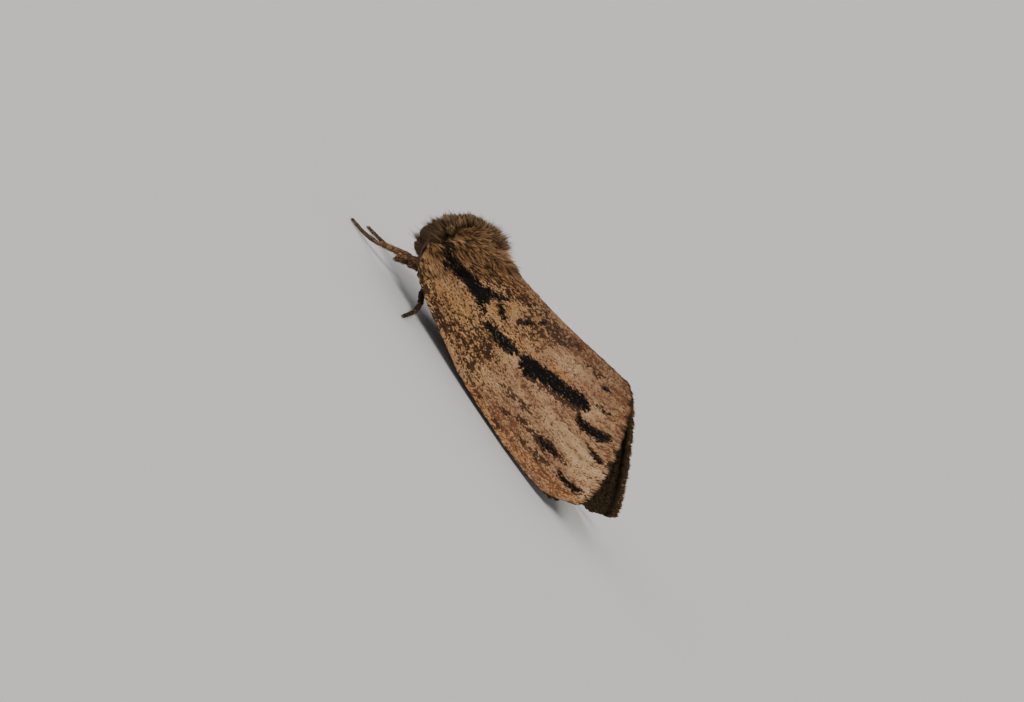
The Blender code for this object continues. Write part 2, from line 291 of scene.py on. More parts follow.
def buildStudio():
    deselectAll()
    bpy.ops.mesh.primitive_plane_add(size=2 * studio["floorReach"])
    floor = bpy.context.object
    floor.name = "floor"
    finish = Finish("paleFloor")
    spots = finish.noise(finish.add("ShaderNodeTexCoord", output="Object"), 60.0)
    colour = finish.mix(spots, tuple(0.97 * c for c in studio["floor"]), studio["floor"])
    floor.data.materials.append(finish.shade({"Roughness": 0.9}, Base_Color=colour))
    world = bpy.data.worlds.new("room")
    world.use_nodes = True
    room = world.node_tree.nodes["Background"]
    room.inputs["Color"].default_value = (*studio["room"], 1)
    room.inputs["Strength"].default_value = studio["roomLight"]
    bpy.context.scene.world = world
    for name, (direction, spread, strength, colour) in studio["lights"].items():
        light = bpy.data.lights.new(name, "SUN")
        light.angle = radians(spread)
        light.energy = strength
        light.color = colour
        lamp = bpy.data.objects.new(name, light)
        lamp.rotation_euler = Vector(direction).to_track_quat("Z", "Y").to_euler()
        bpy.context.scene.collection.objects.link(lamp)


camera = {
    "target": (0.00689, 0.00313, 0.00459),
    "azimuth": 109.5,          # round from straight in front of the head
    "elevation": 10.0,
    "tilt": 50.7,              # rolled, with the head up and to the left
    "distance": 0.246,
    "lens": 140.1,
}


def buildCamera():
    azimuth, elevation, tilt = (radians(camera[key]) for key in ("azimuth", "elevation", "tilt"))
    back = Vector((sin(azimuth) * cos(elevation), -cos(azimuth) * cos(elevation), sin(elevation)))
    lens = bpy.data.cameras.new("camera")
    lens.lens = camera["lens"]
    lens.clip_start = 0.01
    lens.clip_end = 60.0
    eye = bpy.data.objects.new("camera", lens)
    eye.rotation_mode = "QUATERNION"
    eye.rotation_quaternion = back.to_track_quat("Z", "Y") @ Quaternion((0, 0, 1), tilt)
    eye.location = Vector(camera["target"]) + back * camera["distance"]
    bpy.context.scene.collection.objects.link(eye)
    bpy.context.scene.camera = eye


buildStudio()
buildCamera()
print("studio and camera ready")


# The wings make a roof. Along it runs from base to outer edge, and across it from ridge to leading edge,
# both as shares. Stations are measured from the back of the thorax.

roof = {
    "backOfThorax": -4.29,
    "ridge": ((0.30, 1.0, 6.62), (0.24, 5.5, 7.2), (0.28, 10.85, 8.15)),
    "costa": ((2.50, -3.45, 3.35), (2.95, -2.45, 1.95), (3.18, -0.6, 1.28), (3.45, 1.9, 0.84),
              (3.98, 5.6, 0.32), (4.40, 9.6, 0.21), (4.50, 11.7, 0.21), (4.26, 14.9, 0.52),
              (3.52, 16.84, 2.03)),
    "facing": (0.866, 0.0, 0.5),    # the way it bulges
    "crown": 0.66,              # how far it bulges, how much more halfway, and how much less at the end
    "swell": 0.25,
    "hollow": 1.05,
    "marginReach": 1.72,        # how far the outer edge bows out
    "length": 20.0,             # about, from base to outer edge
    "width": 8.0,
    "slope": 0.01,              # the step that its slopes are read over
}


def readCurve(points, share):
    # a smooth curve through the points, read at shares of its length
    points = np.array(points)
    steps = np.linalg.norm(np.diff(points, axis=0), axis=1)
    ends = np.concatenate([[0], np.cumsum(steps)])
    reach = np.asarray(share) * ends[-1]
    index = np.clip(np.searchsorted(ends, reach, side="right") - 1, 0, len(steps) - 1)
    u = ((reach - ends[index]) / steps[index])[:, None]
    longer = np.vstack([2 * points[0] - points[1], points, 2 * points[-1] - points[-2]])
    a, b, c, d = (longer[index + k] for k in range(4))
    return 0.5 * (2 * b + (c - a) * u + (2 * a - 5 * b + 4 * c - d) * u ** 2
                  + (3 * b - a - 3 * c + d) * u ** 3)


def roofPoint(along, across):
    along, across = np.broadcast_arrays(np.asarray(along, float), np.asarray(across, float))
    start = np.maximum(along, 0)
    inside = np.clip(across, 0, 1)
    middle = readCurve(roof["ridge"], along)
    middle = middle + (readCurve(roof["costa"], along) - middle) * across[:, None]
    crown = roof["crown"] + roof["swell"] * np.sin(pi * np.clip(along, 0, 1))
    crown = crown - roof["hollow"] * start ** 2.5
    # the outer edge bows most about a third of the way across, where the two powers make 0.546
    bow = inside ** 0.33 * (1 - inside) ** 0.6 / 0.546 * roof["marginReach"] * start ** 2
    point = middle + (crown * 4 * inside * (1 - inside))[:, None] * np.array(roof["facing"])
    point = point + bow[:, None] * np.array([0.05, 1.0, 0.05])
    return point + np.array([0, roof["backOfThorax"], 0])


def roofFrame(along, across):
    # the point, the way to the outer edge, the way to the leading edge, and the way out of the roof
    step = roof["slope"]
    inner = np.clip(across, 0.03, 0.97)
    aft = roofPoint(along + step, inner) - roofPoint(along - step, inner)
    down = roofPoint(along, inner + step) - roofPoint(along, inner - step)
    return roofPoint(along, across), unit(aft), unit(down), unit(np.cross(down, aft))


# the forewing's markings are streaks of points (along, across, half width in millimetres)

blackStreaks = {
    "basal": ((-0.01, 0.89, 0.14), (0.044, 0.741, 0.3), (0.087, 0.63, 0.37), (0.136, 0.565, 0.43),
              (0.187, 0.52, 0.5), (0.222, 0.505, 0.42)),
    "basalLobe": ((0.04, 0.78, 0.22), (0.07, 0.745, 0.26)),
    "basalUpperArm": ((0.19, 0.45, 0.28), (0.228, 0.38, 0.2), (0.252, 0.3, 0.1)),
    "basalLowerArm": ((0.225, 0.56, 0.2), (0.26, 0.59, 0.11), (0.285, 0.56, 0.07)),
    "besideOchre": ((0.262, 0.395, 0.12), (0.3, 0.43, 0.2), (0.335, 0.452, 0.11)),
    "discal": ((0.37, 0.345, 0.1), (0.382, 0.29, 0.12), (0.39, 0.25, 0.07)),
    "discalEnd": ((0.402, 0.186, 0.1), (0.412, 0.147, 0.08)),
    "middle": ((0.325, 0.605, 0.14), (0.36, 0.59, 0.25), (0.4, 0.567, 0.32), (0.44, 0.545, 0.34),
               (0.462, 0.53, 0.2), (0.492, 0.487, 0.04)),
    "band": ((0.5, 0.49, 0.22), (0.54, 0.48, 0.4), (0.6, 0.447, 0.52), (0.648, 0.412, 0.47),
             (0.7, 0.385, 0.44), (0.75, 0.357, 0.48), (0.79, 0.34, 0.42), (0.812, 0.338, 0.26)),
    "bandLobe": ((0.52, 0.535, 0.2), (0.56, 0.53, 0.26), (0.59, 0.5, 0.2)),
    "subterminal": ((0.805, 0.425, 0.08), (0.85, 0.432, 0.3), (0.878, 0.424, 0.24),
                    (0.905, 0.412, 0.38), (0.94, 0.4, 0.22)),
    "nearTornus": ((0.843, 0.262, 0.04), (0.88, 0.252, 0.06), (0.912, 0.248, 0.04)),
    "tornusDash": ((0.843, 0.134, 0.08), (0.872, 0.124, 0.11)),
    "lowerDash": ((0.9, 0.527, 0.02), (0.932, 0.555, 0.12), (0.955, 0.575, 0.1)),
    "apicalDash": ((0.872, 0.812, 0.13), (0.905, 0.835, 0.2), (0.94, 0.855, 0.22),
                   (0.955, 0.862, 0.1)),
    "upperDash": ((0.755, 0.76, 0.12), (0.79, 0.745, 0.24), (0.82, 0.733, 0.12)),
}
brownStreaks = {
    "afterBand": ((0.79, 0.39, 0.22), (0.815, 0.44, 0.2)),
    "underBand": ((0.56, 0.57, 0.16), (0.68, 0.47, 0.2), (0.79, 0.4, 0.18)),
    "spotA": ((0.545, 0.755, 0.14), (0.59, 0.738, 0.22), (0.625, 0.712, 0.16), (0.648, 0.704, 0.32),
              (0.668, 0.698, 0.14)),
    "spotB": ((0.655, 0.8, 0.18), (0.685, 0.78, 0.26)),
    "spotC": ((0.59, 0.86, 0.16), (0.63, 0.84, 0.2)),
    "spotD": ((0.765, 0.855, 0.12), (0.795, 0.842, 0.22), (0.83, 0.82, 0.12)),
    "upperDash": ((0.705, 0.782, 0.14), (0.76, 0.758, 0.32), (0.792, 0.745, 0.4), (0.822, 0.733, 0.26),
                  (0.86, 0.715, 0.08)),
    "lowerDash": ((0.868, 0.5, 0.08), (0.9, 0.527, 0.12), (0.932, 0.555, 0.22), (0.955, 0.575, 0.2)),
    "spotE": ((0.72, 0.88, 0.12), (0.735, 0.86, 0.13)),
    "dot": ((0.952, 0.715, 0.09), (0.958, 0.715, 0.09)),
    "shoulder": ((0.1, 0.985, 0.16), (0.165, 0.97, 0.26)),
    "costalPatch": ((0.24, 0.965, 0.42), (0.29, 0.935, 0.36)),
    "costalSpot": ((0.53, 0.955, 0.18), (0.548, 0.935, 0.12)),
    "costalDash": ((0.61, 0.965, 0.16), (0.65, 0.955, 0.16)),
    "ridgeDark": ((0.395, 0.15, 0.24), (0.45, 0.12, 0.56), (0.53, 0.13, 0.54), (0.62, 0.06, 0.28)),
    "ridgeEdge": ((0.7, 0.115, 0.1), (0.8, 0.1, 0.16), (0.85, 0.07, 0.1)),
}
smokyPatches = {
    # where dark specks crowd together
    "median": ((0.27, 0.9, 0.75), (0.33, 0.78, 1.1), (0.42, 0.68, 0.85)),
    "below": ((0.43, 0.85, 0.6), (0.48, 0.9, 0.5)),
    "discal": ((0.33, 0.33, 0.4), (0.4, 0.26, 0.6), (0.47, 0.19, 0.75), (0.54, 0.09, 0.6)),
    "upper": ((0.05, 0.42, 0.25), (0.15, 0.28, 0.45), (0.25, 0.2, 0.5), (0.34, 0.1, 0.4)),
    "ridge": ((0.56, 0.08, 0.5), (0.68, 0.06, 0.5), (0.8, 0.06, 0.3)),
    "costa": ((0.1, 0.975, 0.3), (0.22, 0.96, 0.5)),
    "gaps": ((0.06, 0.48, 0.16), (0.15, 0.36, 0.2), (0.23, 0.24, 0.16)),
}
rustPatches = {
    "middle": ((0.27, 0.9, 0.3), (0.35, 0.82, 0.5), (0.43, 0.75, 0.3)),
    "costaEnd": ((0.52, 0.93, 0.25), (0.64, 0.92, 0.35), (0.78, 0.93, 0.4), (0.9, 0.935, 0.6)),
    "ridge": ((0.56, 0.04, 0.3), (0.64, 0.06, 0.4), (0.78, 0.07, 0.3)),
    "tornus": ((0.955, 0.08, 0.35), (0.975, 0.18, 0.35)),
    "base": ((0.05, 0.3, 0.2), (0.12, 0.2, 0.5), (0.23, 0.14, 0.7)),
}
palePatches = {
    # clean of specks
    "round": ((0.455, 0.625, 0.42), (0.5, 0.568, 0.48)),
    "aboveBand": ((0.56, 0.26, 0.25), (0.617, 0.223, 0.55), (0.711, 0.202, 0.5)),
    "underBand": ((0.62, 0.54, 0.34), (0.68, 0.52, 0.3)),
    "afterBand": ((0.835, 0.33, 0.45), (0.86, 0.31, 0.4)),
    "outerA": ((0.79, 0.56, 0.42), (0.96, 0.66, 0.7)),
    "outerB": ((0.85, 0.64, 0.6), (0.93, 0.72, 0.7)),
    "outerC": ((0.7, 0.6, 0.4), (0.82, 0.62, 0.5)),
    "costaA": ((0.32, 0.975, 0.2), (0.46, 0.97, 0.22)),
    "apex": ((0.96, 0.92, 0.5), (0.985, 0.8, 0.5)),
    "lower": ((0.467, 0.805, 0.3), (0.54, 0.772, 0.34), (0.6, 0.7, 0.3)),
    "beforeArm": ((0.3, 0.3, 0.4), (0.35, 0.4, 0.3)),
    "base": ((0.08, 0.88, 0.1), (0.16, 0.78, 0.22), (0.23, 0.7, 0.2)),
}
ochrePatches = {
    "bandTop": ((0.59, 0.335, 0.3), (0.69, 0.31, 0.26)),
    "spot": ((0.27, 0.475, 0.24), (0.29, 0.47, 0.2)),
    "vein": ((0.38, 0.49, 0.16), (0.48, 0.43, 0.2)),
    "costa": ((0.15, 0.84, 0.2), (0.3, 0.72, 0.2)),
    "costaStrip": ((0.48, 0.985, 0.26), (0.7, 0.975, 0.32), (0.96, 0.97, 0.4)),
}


def inStreaks(points, streaks, soft):
    # 1 well inside a streak, 0.5 on its edge, 0 well outside
    best = np.full(len(points), 99.0)
    for path in streaks.values():
        path = np.array(path)
        stops = roofPoint(path[:, 0], path[:, 1])
        for a, b, narrow, wide in zip(stops, stops[1:], path[:, 2], path[1:, 2]):
            run = b - a
            share = np.clip(((points - a) @ run) / (run @ run), 0, 1)
            gap = np.linalg.norm(points - a - share[:, None] * run, axis=1)
            best = np.minimum(best, gap - (narrow + (wide - narrow) * share))
    return np.clip(0.5 - best / (2 * soft), 0, 1)


def wingPlace(along, across):
    # where the noise is read
    return np.stack([along * roof["length"], across * roof["width"], np.zeros(len(along))], 1)


markings = {
    # the streaks or patches, and how softly they end, in millimetres
    "black": (blackStreaks, 0.25),
    "shadow": (blackStreaks, 0.40),
    "brown": (brownStreaks, 0.30),
    "rust": (rustPatches, 0.90),
    "pale": (palePatches, 0.50),
    "ochre": (ochrePatches, 0.45),
    "smoky": (smokyPatches, 0.50),
}
speckShare = {"base": 0.31, "outer": -0.03, "smoky": 0.34, "pale": -0.72}
brownShadow = 0.62      # how brown it is round the black streaks


def wingValues(along, across):
    # what the wing's finish reads, the same for the membrane and the scales over it
    points = roofPoint(along, across)
    values = {"place": wingPlace(along, across)}
    for name, (streaks, soft) in markings.items():
        values[name] = inStreaks(points, streaks, soft)
    specks = speckShare["base"] + speckShare["outer"] * np.clip((along - 0.40) / 0.12, 0, 1)
    specks = specks + speckShare["smoky"] * values.pop("smoky")
    values["specks"] = specks * (1 + speckShare["pale"] * values["pale"])
    values["brown"] = np.maximum(values["brown"], brownShadow * values.pop("shadow"))
    values["veins"] = np.clip(veinRise(along, across) / forewing["veinHeight"], 0, 1)
    return values


def ownNumbers(values, rng, *names):
    # adds numbers of each scale's own, which its finish reads too
    return {**values, **{name: rng.random(len(values["place"])) for name in names}}


forewing = {
    "depth": 0.15,              # from the face of the roof to the membrane
    "thickness": 0.10,
    "end": 0.962,               # where the membrane stops and the fringe starts
    "nearMidline": 0.05,
    "grid": (150, 84),          # rows and columns of the membrane
    "frontDip": 0.30,           # how far its front edge dips under the wool
    "veins": (0.08, 0.20, 0.31, 0.42, 0.52, 0.61, 0.70, 0.79, 0.88, 0.95),
    "veinHeight": 0.035,
    "halves": {"Inner": (0.0, 0.47), "Outer": (0.47, 0.962)},
    "rows": 164,                # of each half
    "columns": 158,
    "scale": (0.30, 0.092, 0.012),      # length, width and thickness
    "baseScale": (0.44, 0.060, 0.020),
    "baseHair": (0.86, 0.046),
    "baseHairs": 5600,
    "baseReach": 0.175,         # how far back they are rooted
    "baseLead": 0.031,          # and how far in front of the wing's base
    "ridgeHair": (0.42, 0.055),
    "ridgeHairs": 2600,
    "fringe": (0.74, 0.070, 0.012),
    "fringeLayers": 4,
    "fringeCount": 620,
    "checks": 11,               # dark checks along the fringe
    "innerRows": 72,
    "innerColumns": 54,
    "innerScale": (0.52, 0.23, 0.014),
    "rootHair": (0.85, 0.050),
    "rootHairs": 800,
}


def veinRise(along, across):
    rise = np.zeros(len(along))
    for vein in forewing["veins"]:
        gap = (across - 0.5 - (vein - 0.5) * (0.8 + 0.2 * along)) * 8.5
        rise = rise + np.exp(-(gap / 0.14) ** 2)
    return forewing["veinHeight"] * rise * np.clip(along * 4, 0, 1)


def scaleLie(along, across):
    # the point, the way the scales lie, the way to the leading edge, and the way out of the roof
    point, aft, _, out = roofFrame(along, across)
    level = tail + skyward * 0.20
    level = unit(level - out * column(out @ level))
    early = np.clip(1 - along / 0.42, 0, 1) ** 0.7 * np.clip(1.25 - 0.6 * across, 0, 1)
    lie = unit(aft * column(1 - early) + level * column(early))
    return point, lie, np.cross(out, lie), out


def membranePoint(along, across, depth):
    point, _, _, out = roofFrame(along, across)
    edge = np.clip((0.5 - np.abs(across - 0.5)) / 0.03, 0, 1)
    point = point - out * (depth - veinRise(along, across) * edge)[:, None]
    point[:, 0] = np.maximum(point[:, 0], forewing["nearMidline"])
    return point


def flatGrid(first, second):
    return [values.ravel() for values in np.meshgrid(first, second, indexing="ij")]


def addSheet(name, label, along, across, depths, size):
    # a closed sheet between two depths below the face of the roof, from rows and columns of places
    rows, columns = size
    count = rows * columns
    grid = np.arange(count).reshape(rows, columns)
    a, b, c, d = grid[:-1, :-1], grid[:-1, 1:], grid[1:, 1:], grid[1:, :-1]
    upper = np.stack([a, b, c, d], -1).reshape(-1, 4)
    rim = np.concatenate([grid[0, :-1], grid[:-1, -1], grid[-1, :0:-1], grid[:0:-1, 0]])
    after = np.roll(rim, -1)
    walls = np.stack([after, rim, rim + count, after + count], -1)
    faces = np.concatenate([upper, upper[:, ::-1] + count, walls])
    points = np.concatenate([membranePoint(along, across, depth) for depth in depths])
    points[:, 0] *= sides[label]
    return addPiece(name + "_" + label, points, faces[:, ::sides[label]])


def buildMembrane(label, finish):
    rows, columns = forewing["grid"]
    along, across = flatGrid(np.linspace(0.0, forewing["end"], rows), np.linspace(0.012, 0.988, columns))
    top = forewing["depth"] + forewing["frontDip"] * np.clip(1 - along / 0.03, 0, 1) ** 2
    depths = (top, top + forewing["thickness"])
    piece = addSheet("wingMembrane", label, along, across, depths, (rows, columns))
    for key, value in wingValues(along, across).items():
        below = value if key == "place" else np.full(len(value), float(key == "brown"))
        addValues(piece, key, np.concatenate([value, below]))
    return finishPiece(piece, finish, ["forewing_" + label])


def sheetGrid(rng, rows, columns, ends, edges):
    # jittered places over a part of the wing, nearest the base first
    along, across = flatGrid((np.arange(rows) + 0.5) / rows, (np.arange(columns) + 0.5) / columns)
    along = along + rng.uniform(-0.8, 0.8, len(along)) / rows
    across = across + rng.uniform(-0.6, 0.6, len(along)) / columns
    return ends[0] + (ends[1] - ends[0]) * along, edges[0] + (edges[1] - edges[0]) * np.clip(across, 0, 1)


def someOf(coat, own):
    # some of the tufts of a coat
    return {key: someOf(value, own) if key == "values" else value[own] for key, value in coat.items()}


def growOnWing(name, label, shape, finish, along, across, coat):
    # hair starts in front of the wing's base, so its unwrap starts earlier
    early, rim = (0.0, 0.02) if shape is blade else (0.03, 0.01)
    coat["unwrap"] = np.stack([across, along + early], 1) * 0.96 + rim
    return finishPiece(growTufts(name + "_" + label, shape, coat, sides[label]), finish)


def sized(length, width, height, size):
    return {"length": length * size, "width": width * size, "height": height * size}


def buildWingScales(label, half, finish):
    ends = forewing["halves"][half]
    rng = np.random.default_rng(11 + sides[label] + int(100 * ends[0]))
    along, across = sheetGrid(rng, forewing["rows"], forewing["columns"], ends, (0.006, 0.994))
    count = len(along)
    _, aft, down, out = scaleLie(along, across)
    hairy = np.clip(1 - along / 0.30, 0, 1) ** 1.3
    toCosta = np.clip((across - 0.94) / 0.06, 0, 1)
    toRidge = np.clip((0.07 - across) / 0.07, 0, 1)
    sway = rng.normal(0, 0.10 + 0.08 * hairy, count) + 0.35 * toCosta - 0.30 * toRidge
    lift = rng.uniform(0.08, 0.20, count) + 0.08 * hairy + 0.12 * toRidge
    size = rng.uniform(0.8, 1.2, count)
    length, width, height = ((1 - hairy) * flat + hairy * hair
                             for flat, hair in zip(forewing["scale"], forewing["baseScale"]))
    return growOnWing("wingScales" + half, label, blade, finish, along, across, {
        "root": membranePoint(along, across, forewing["depth"] + 0.01),
        "ahead": aft + down * column(sway) + out * column(lift), "up": out,
        "length": length * size, "width": width * size, "height": height,
        "bend": out * column(-0.10 * rng.uniform(0.5, 1.5, count)),
        "values": ownNumbers(wingValues(along + 0.6 * length * size / roof["length"], across), rng,
                             "grain", "tone"),
    })


def buildBaseHair(label, finish):
    # long hairs that flow back over the base of the wing
    rng = np.random.default_rng(21 + sides[label])
    count = forewing["baseHairs"]
    across = rng.uniform(0.02, 0.99, count)
    share = rng.random(count)
    inner = np.clip((0.90 - across) / 0.25, 0, 1)
    start = (0.004 + 0.010 * inner) * rng.uniform(-1.0, 0.8, count) - 0.004 - forewing["baseLead"] * inner
    along = start + forewing["baseReach"] * share ** 1.8 * (1 - 0.45 * across)
    mantle = np.clip(1 - (along - start) / 0.014, 0, 1)     # the hairs along the very base stand up
    _, aft, down, out = scaleLie(along, across)
    size = rng.uniform(0.6, 1.15, count) * (1 + 0.25 * mantle) * np.clip(0.55 + across / 0.3, 0, 1)
    size = size * np.where(along < 0, 1.25, 1.0)
    sway = 0.35 * waver(wingPlace(along, across), 1.2, 2)[:, 0]
    upright = mantle * rng.uniform(0.0, 0.9, count) * np.clip(across / 0.25 - 0.2, 0, 1)
    lift = rng.uniform(0.12, 0.42, count) + upright
    sway = sway + rng.normal(0.05, 0.12, count) * (1 + 2.2 * mantle)
    length, width = forewing["baseHair"]
    values = wingValues(along + 0.35 * length * size / roof["length"], across)
    dusky = rng.random(count) < 0.45 * mantle
    values["brown"] = np.maximum(values["brown"], np.where(dusky, 0.75, 0.0))
    return growOnWing("wingBaseHair", label, shortHair, finish, along, across, {
        "root": membranePoint(along, across, forewing["depth"] + 0.02),
        "ahead": aft + down * column(sway) + out * column(lift), "up": out,
        **sized(length, width, width * 0.7, size), "bend": -out * 0.22 + skyward * 0.02,
        "values": ownNumbers(values, rng, "grain", "tone"),
    })


def buildFringe(label, finish, under):
    rng = np.random.default_rng(31 + sides[label])
    layers, each = forewing["fringeLayers"], forewing["fringeCount"]
    count = layers * each
    across = np.tile((np.arange(each) + 0.5) / each, layers) + rng.uniform(-1.5, 1.5, count) / each
    across = np.clip(across, 0.004, 0.996)
    layer = np.repeat(np.arange(layers), each)
    along = forewing["end"] - 0.014 * (1 + layer) / layers + rng.uniform(-0.004, 0.004, count)
    _, aft, down, out = roofFrame(along, across)
    size = rng.uniform(0.72, 1.02, count)
    checks = 0.5 + 0.5 * np.cos(2 * pi * forewing["checks"] * across)
    values = wingValues(along, across)
    values["brown"] = np.maximum(values["brown"], np.where(checks > 0.62, 0.62, 0.0))
    coat = {
        "root": membranePoint(along, across, forewing["depth"] + 0.02 + 0.02 * layer), "up": out,
        "ahead": aft + down * column(rng.normal(0, 0.13, count)) + out * column(0.05 - 0.03 * layer),
        **sized(*forewing["fringe"], size), "bend": -out * 0.05,
        "values": ownNumbers(values, rng, "grain", "tone"),
    }
    coat["length"] = coat["length"] * (1 - 0.10 * checks)
    growOnWing("wingFringe", label, blade, finish, along, across, coat)
    # every second tuft again, on the under side
    coat["root"] = coat["root"] - out * 0.07
    coat["up"] = -out
    coat["values"] = ownNumbers({"place": values["place"]}, rng, "grain")
    coat = someOf(coat, slice(None, None, 2))
    # the under side's finish is painted dark, for the shade under the wing
    growOnWing("wingUnderFringe", label, blade, under, along[::2], across[::2], coat)


def buildRidgeHair(label, finish):
    # hairs of the inner edge, which close the slit along the ridge
    rng = np.random.default_rng(41 + sides[label])
    count = forewing["ridgeHairs"]
    along = rng.uniform(-0.04, 0.955, count)
    across = rng.uniform(0.0, 0.035, count)
    _, aft, _, out = roofFrame(along, across)
    size = rng.uniform(0.7, 1.1, count) * np.where(along < 0.08, 1.9, 1.0)
    root = membranePoint(along, across, forewing["depth"] + rng.uniform(0.0, 0.08, count))
    ahead = aft - leftward * column(rng.uniform(0.35, 0.95, count))
    ahead = ahead + skyward * column(rng.uniform(-0.12, 0.10, count))
    return growOnWing("wingRidgeHair", label, blade, finish, along, across, {
        "root": root, "ahead": ahead, "up": out, **sized(*forewing["ridgeHair"], 0.014, size),
        "bend": -skyward * column(rng.uniform(0, 0.10, count)),
        "values": ownNumbers(wingValues(along, across), rng, "grain", "tone"),
    })


def growUnder(name, label, shape, finish, along, across, lie, rng):
    # what grows on the under side of the membrane
    return growOnWing(name, label, shape, finish, along, across, {
        "root": membranePoint(along, across, forewing["depth"] + forewing["thickness"] - 0.01), **lie,
        "values": ownNumbers({"place": wingPlace(along, across)}, rng, "grain"),
    })


def buildRootHair(label, finish):
    # hairs under the wing's base, in towards the body
    rng = np.random.default_rng(61 + sides[label])
    count = forewing["rootHairs"]
    along = rng.uniform(-0.004, 0.050, count)
    across = rng.uniform(0.66, 0.985, count)
    out = roofFrame(along, across)[3]
    size = rng.uniform(0.65, 1.2, count)
    inward = np.array([-1.0, -0.10, -0.18])
    length, width = forewing["rootHair"]
    lie = {
        "ahead": inward + rng.normal(0, 0.22, (count, 3)), "up": -out,
        "bend": skyward * column(rng.normal(-0.08, 0.08, count)),
        **sized(length, width, width * 0.6, size),
    }
    return growUnder("wingRootHair", label, shortHair, finish, along, across, lie, rng)


def buildInnerScales(label, finish):
    rng = np.random.default_rng(51 + sides[label])
    along, across = sheetGrid(rng, forewing["innerRows"], forewing["innerColumns"], (0.02, forewing["end"]),
                              (0.02, 0.985))
    count = len(along)
    _, aft, down, out = roofFrame(along, across)
    size = rng.uniform(0.8, 1.25, count)
    ahead = aft + down * column(rng.normal(0, 0.12, count)) - out * column(rng.uniform(0.06, 0.16, count))
    lie = {"ahead": ahead, "up": -out, "bend": out * 0.06, **sized(*forewing["innerScale"], size)}
    # the finish of these scales is painted dark, for the shade under the wing
    return growUnder("wingUnderScales", label, blade, finish, along, across, lie, rng)


wingPaints = {
    "ground": ((0.345, 0.184, 0.078), (0.515, 0.300, 0.140)),
    "outerGround": (0.480, 0.300, 0.182),
    "ridgeGround": (0.185, 0.120, 0.072),
    "pale": (0.570, 0.370, 0.205),
    "blush": (0.360, 0.165, 0.088),
    "cloud": (0.270, 0.135, 0.068),
    "ochre": (0.490, 0.240, 0.085),
    "rust": (0.230, 0.090, 0.040),
    "baseSpeck": (0.032, 0.016, 0.009),
    "outerSpeck": (0.158, 0.070, 0.038),
    "brown": (0.062, 0.032, 0.019),
    "black": (0.0072, 0.0058, 0.0044),
    "fleck": (0.060, 0.048, 0.034),     # the few worn scales in the black
}


def wingColour(finish, grain, tone):
    # tan scales with dark specks, reddish clouds, pale streaks between the veins, and the black streaks
    paint = wingPaints
    run, rise = (finish.add("ShaderNodeSeparateXYZ", {}, {0: finish.place()}, output=axis)
                 for axis in (0, 1))
    blotch = finish.noise(finish.place(0.35, 1.0, 1.0), 1.1, 3.0)
    fine = finish.noise(finish.place(0.50, 1.2, 1.0), 4.0, 3.0, 0.65)
    streaky = finish.noise(finish.place(0.16, 1.5, 1.0), 1.7, 2.0)
    mottle = fine * 0.5 + streaky * 0.5
    outer = finish.ease(run, 8.0, 12.0)
    ridgeward = 1 - finish.ease(rise, 0.4, 2.4)
    veins = finish.values("veins") * outer
    pale = finish.values("pale") + (streaky - 0.5) * 1.5 - veins * 0.4
    ochre = finish.values("ochre") + fine - 0.5
    rusty = finish.values("rust") + outer * 0.10 + (streaky - 0.5) * 1.5 + (fine - 0.5) * 0.9
    clusters = finish.ease(fine * 0.65 + streaky * 0.35, 0.42, 0.60)
    density = finish.values("specks") * (0.25 + clusters * 1.75) + veins * 0.08
    brown = finish.ease(finish.values("brown") + (fine - 0.5) * 1.5, 0.30, 0.75)
    black = finish.values("black") + (fine - 0.5) * 0.90 + (grain - 0.5) * 0.60
    covers = (
        (outer * 0.50, paint["outerGround"]),
        (finish.ease(mottle + (tone - 0.5) * 0.25, 0.50, 0.66) * 0.55, paint["blush"]),
        (finish.ease(pale, 0.25, 0.90) * (0.4 + outer * 0.6), paint["pale"]),
        (finish.ease(mottle - pale * 0.10, 0.40, 0.56) * outer * 0.45, paint["cloud"]),
        (finish.ease(ochre, 0.3, 0.8) * 0.6, paint["ochre"]),
        (ridgeward * (0.20 + tone * 0.35), paint["ridgeGround"]),
        ((tone < finish.ease(rusty, 0.25, 0.95) * 0.75) * 0.85, paint["rust"]),
        ((grain < density) * 0.92, finish.mix(outer, paint["baseSpeck"], paint["outerSpeck"])),
        ((grain < brown * 0.88) * 0.92, paint["brown"]),
        (finish.ease(black, 0.42, 0.54), finish.mix(tone < 0.92, paint["fleck"], paint["black"])),
    )
    colour = finish.mix(finish.ease(blotch, 0.3, 0.7), *paint["ground"])
    for share, cover in covers:
        colour = finish.mix(share, colour, cover)
    return finish.scaled(colour, 1 + (tone - 0.5) * (0.68 - outer * 0.30))


def wingFinish():
    finish = Finish("wingScale")
    grain = finish.values("grain")
    tone = finish.values("tone")
    return finish.shade({"Specular IOR Level": 0.12}, Base_Color=wingColour(finish, grain, tone),
                        Roughness=0.65 + grain * 0.2)


def membraneFinish():
    finish = Finish("wingMembrane")
    half = finish.noise(finish.place(), 9.0)
    colour = finish.scaled(wingColour(finish, half, half), 0.6 + half * 0.2)
    return finish.shade({"Specular IOR Level": 0.2}, Base_Color=colour, Roughness=0.6 + half * 0.1)


def underFinish(name, dark, light):
    finish = Finish(name)
    grain = finish.values("grain")
    cloud = finish.noise(finish.place(0.5, 1.0, 1.0), 1.3, 3.0)
    colour = finish.mix(cloud * 0.6 + grain * 0.4, dark, light)
    return finish.shade({"Specular IOR Level": 0.15}, Base_Color=colour, Roughness=0.65 + grain * 0.2)


def cloudyFinish(name, dark, light, scale, specular, roughness, stretch=()):
    finish = Finish(name)
    cloud = finish.noise(finish.place(*stretch), scale, 3.0)
    return finish.shade({"Specular IOR Level": specular}, Base_Color=finish.mix(cloud, dark, light),
                        Roughness=roughness + cloud * 0.2)


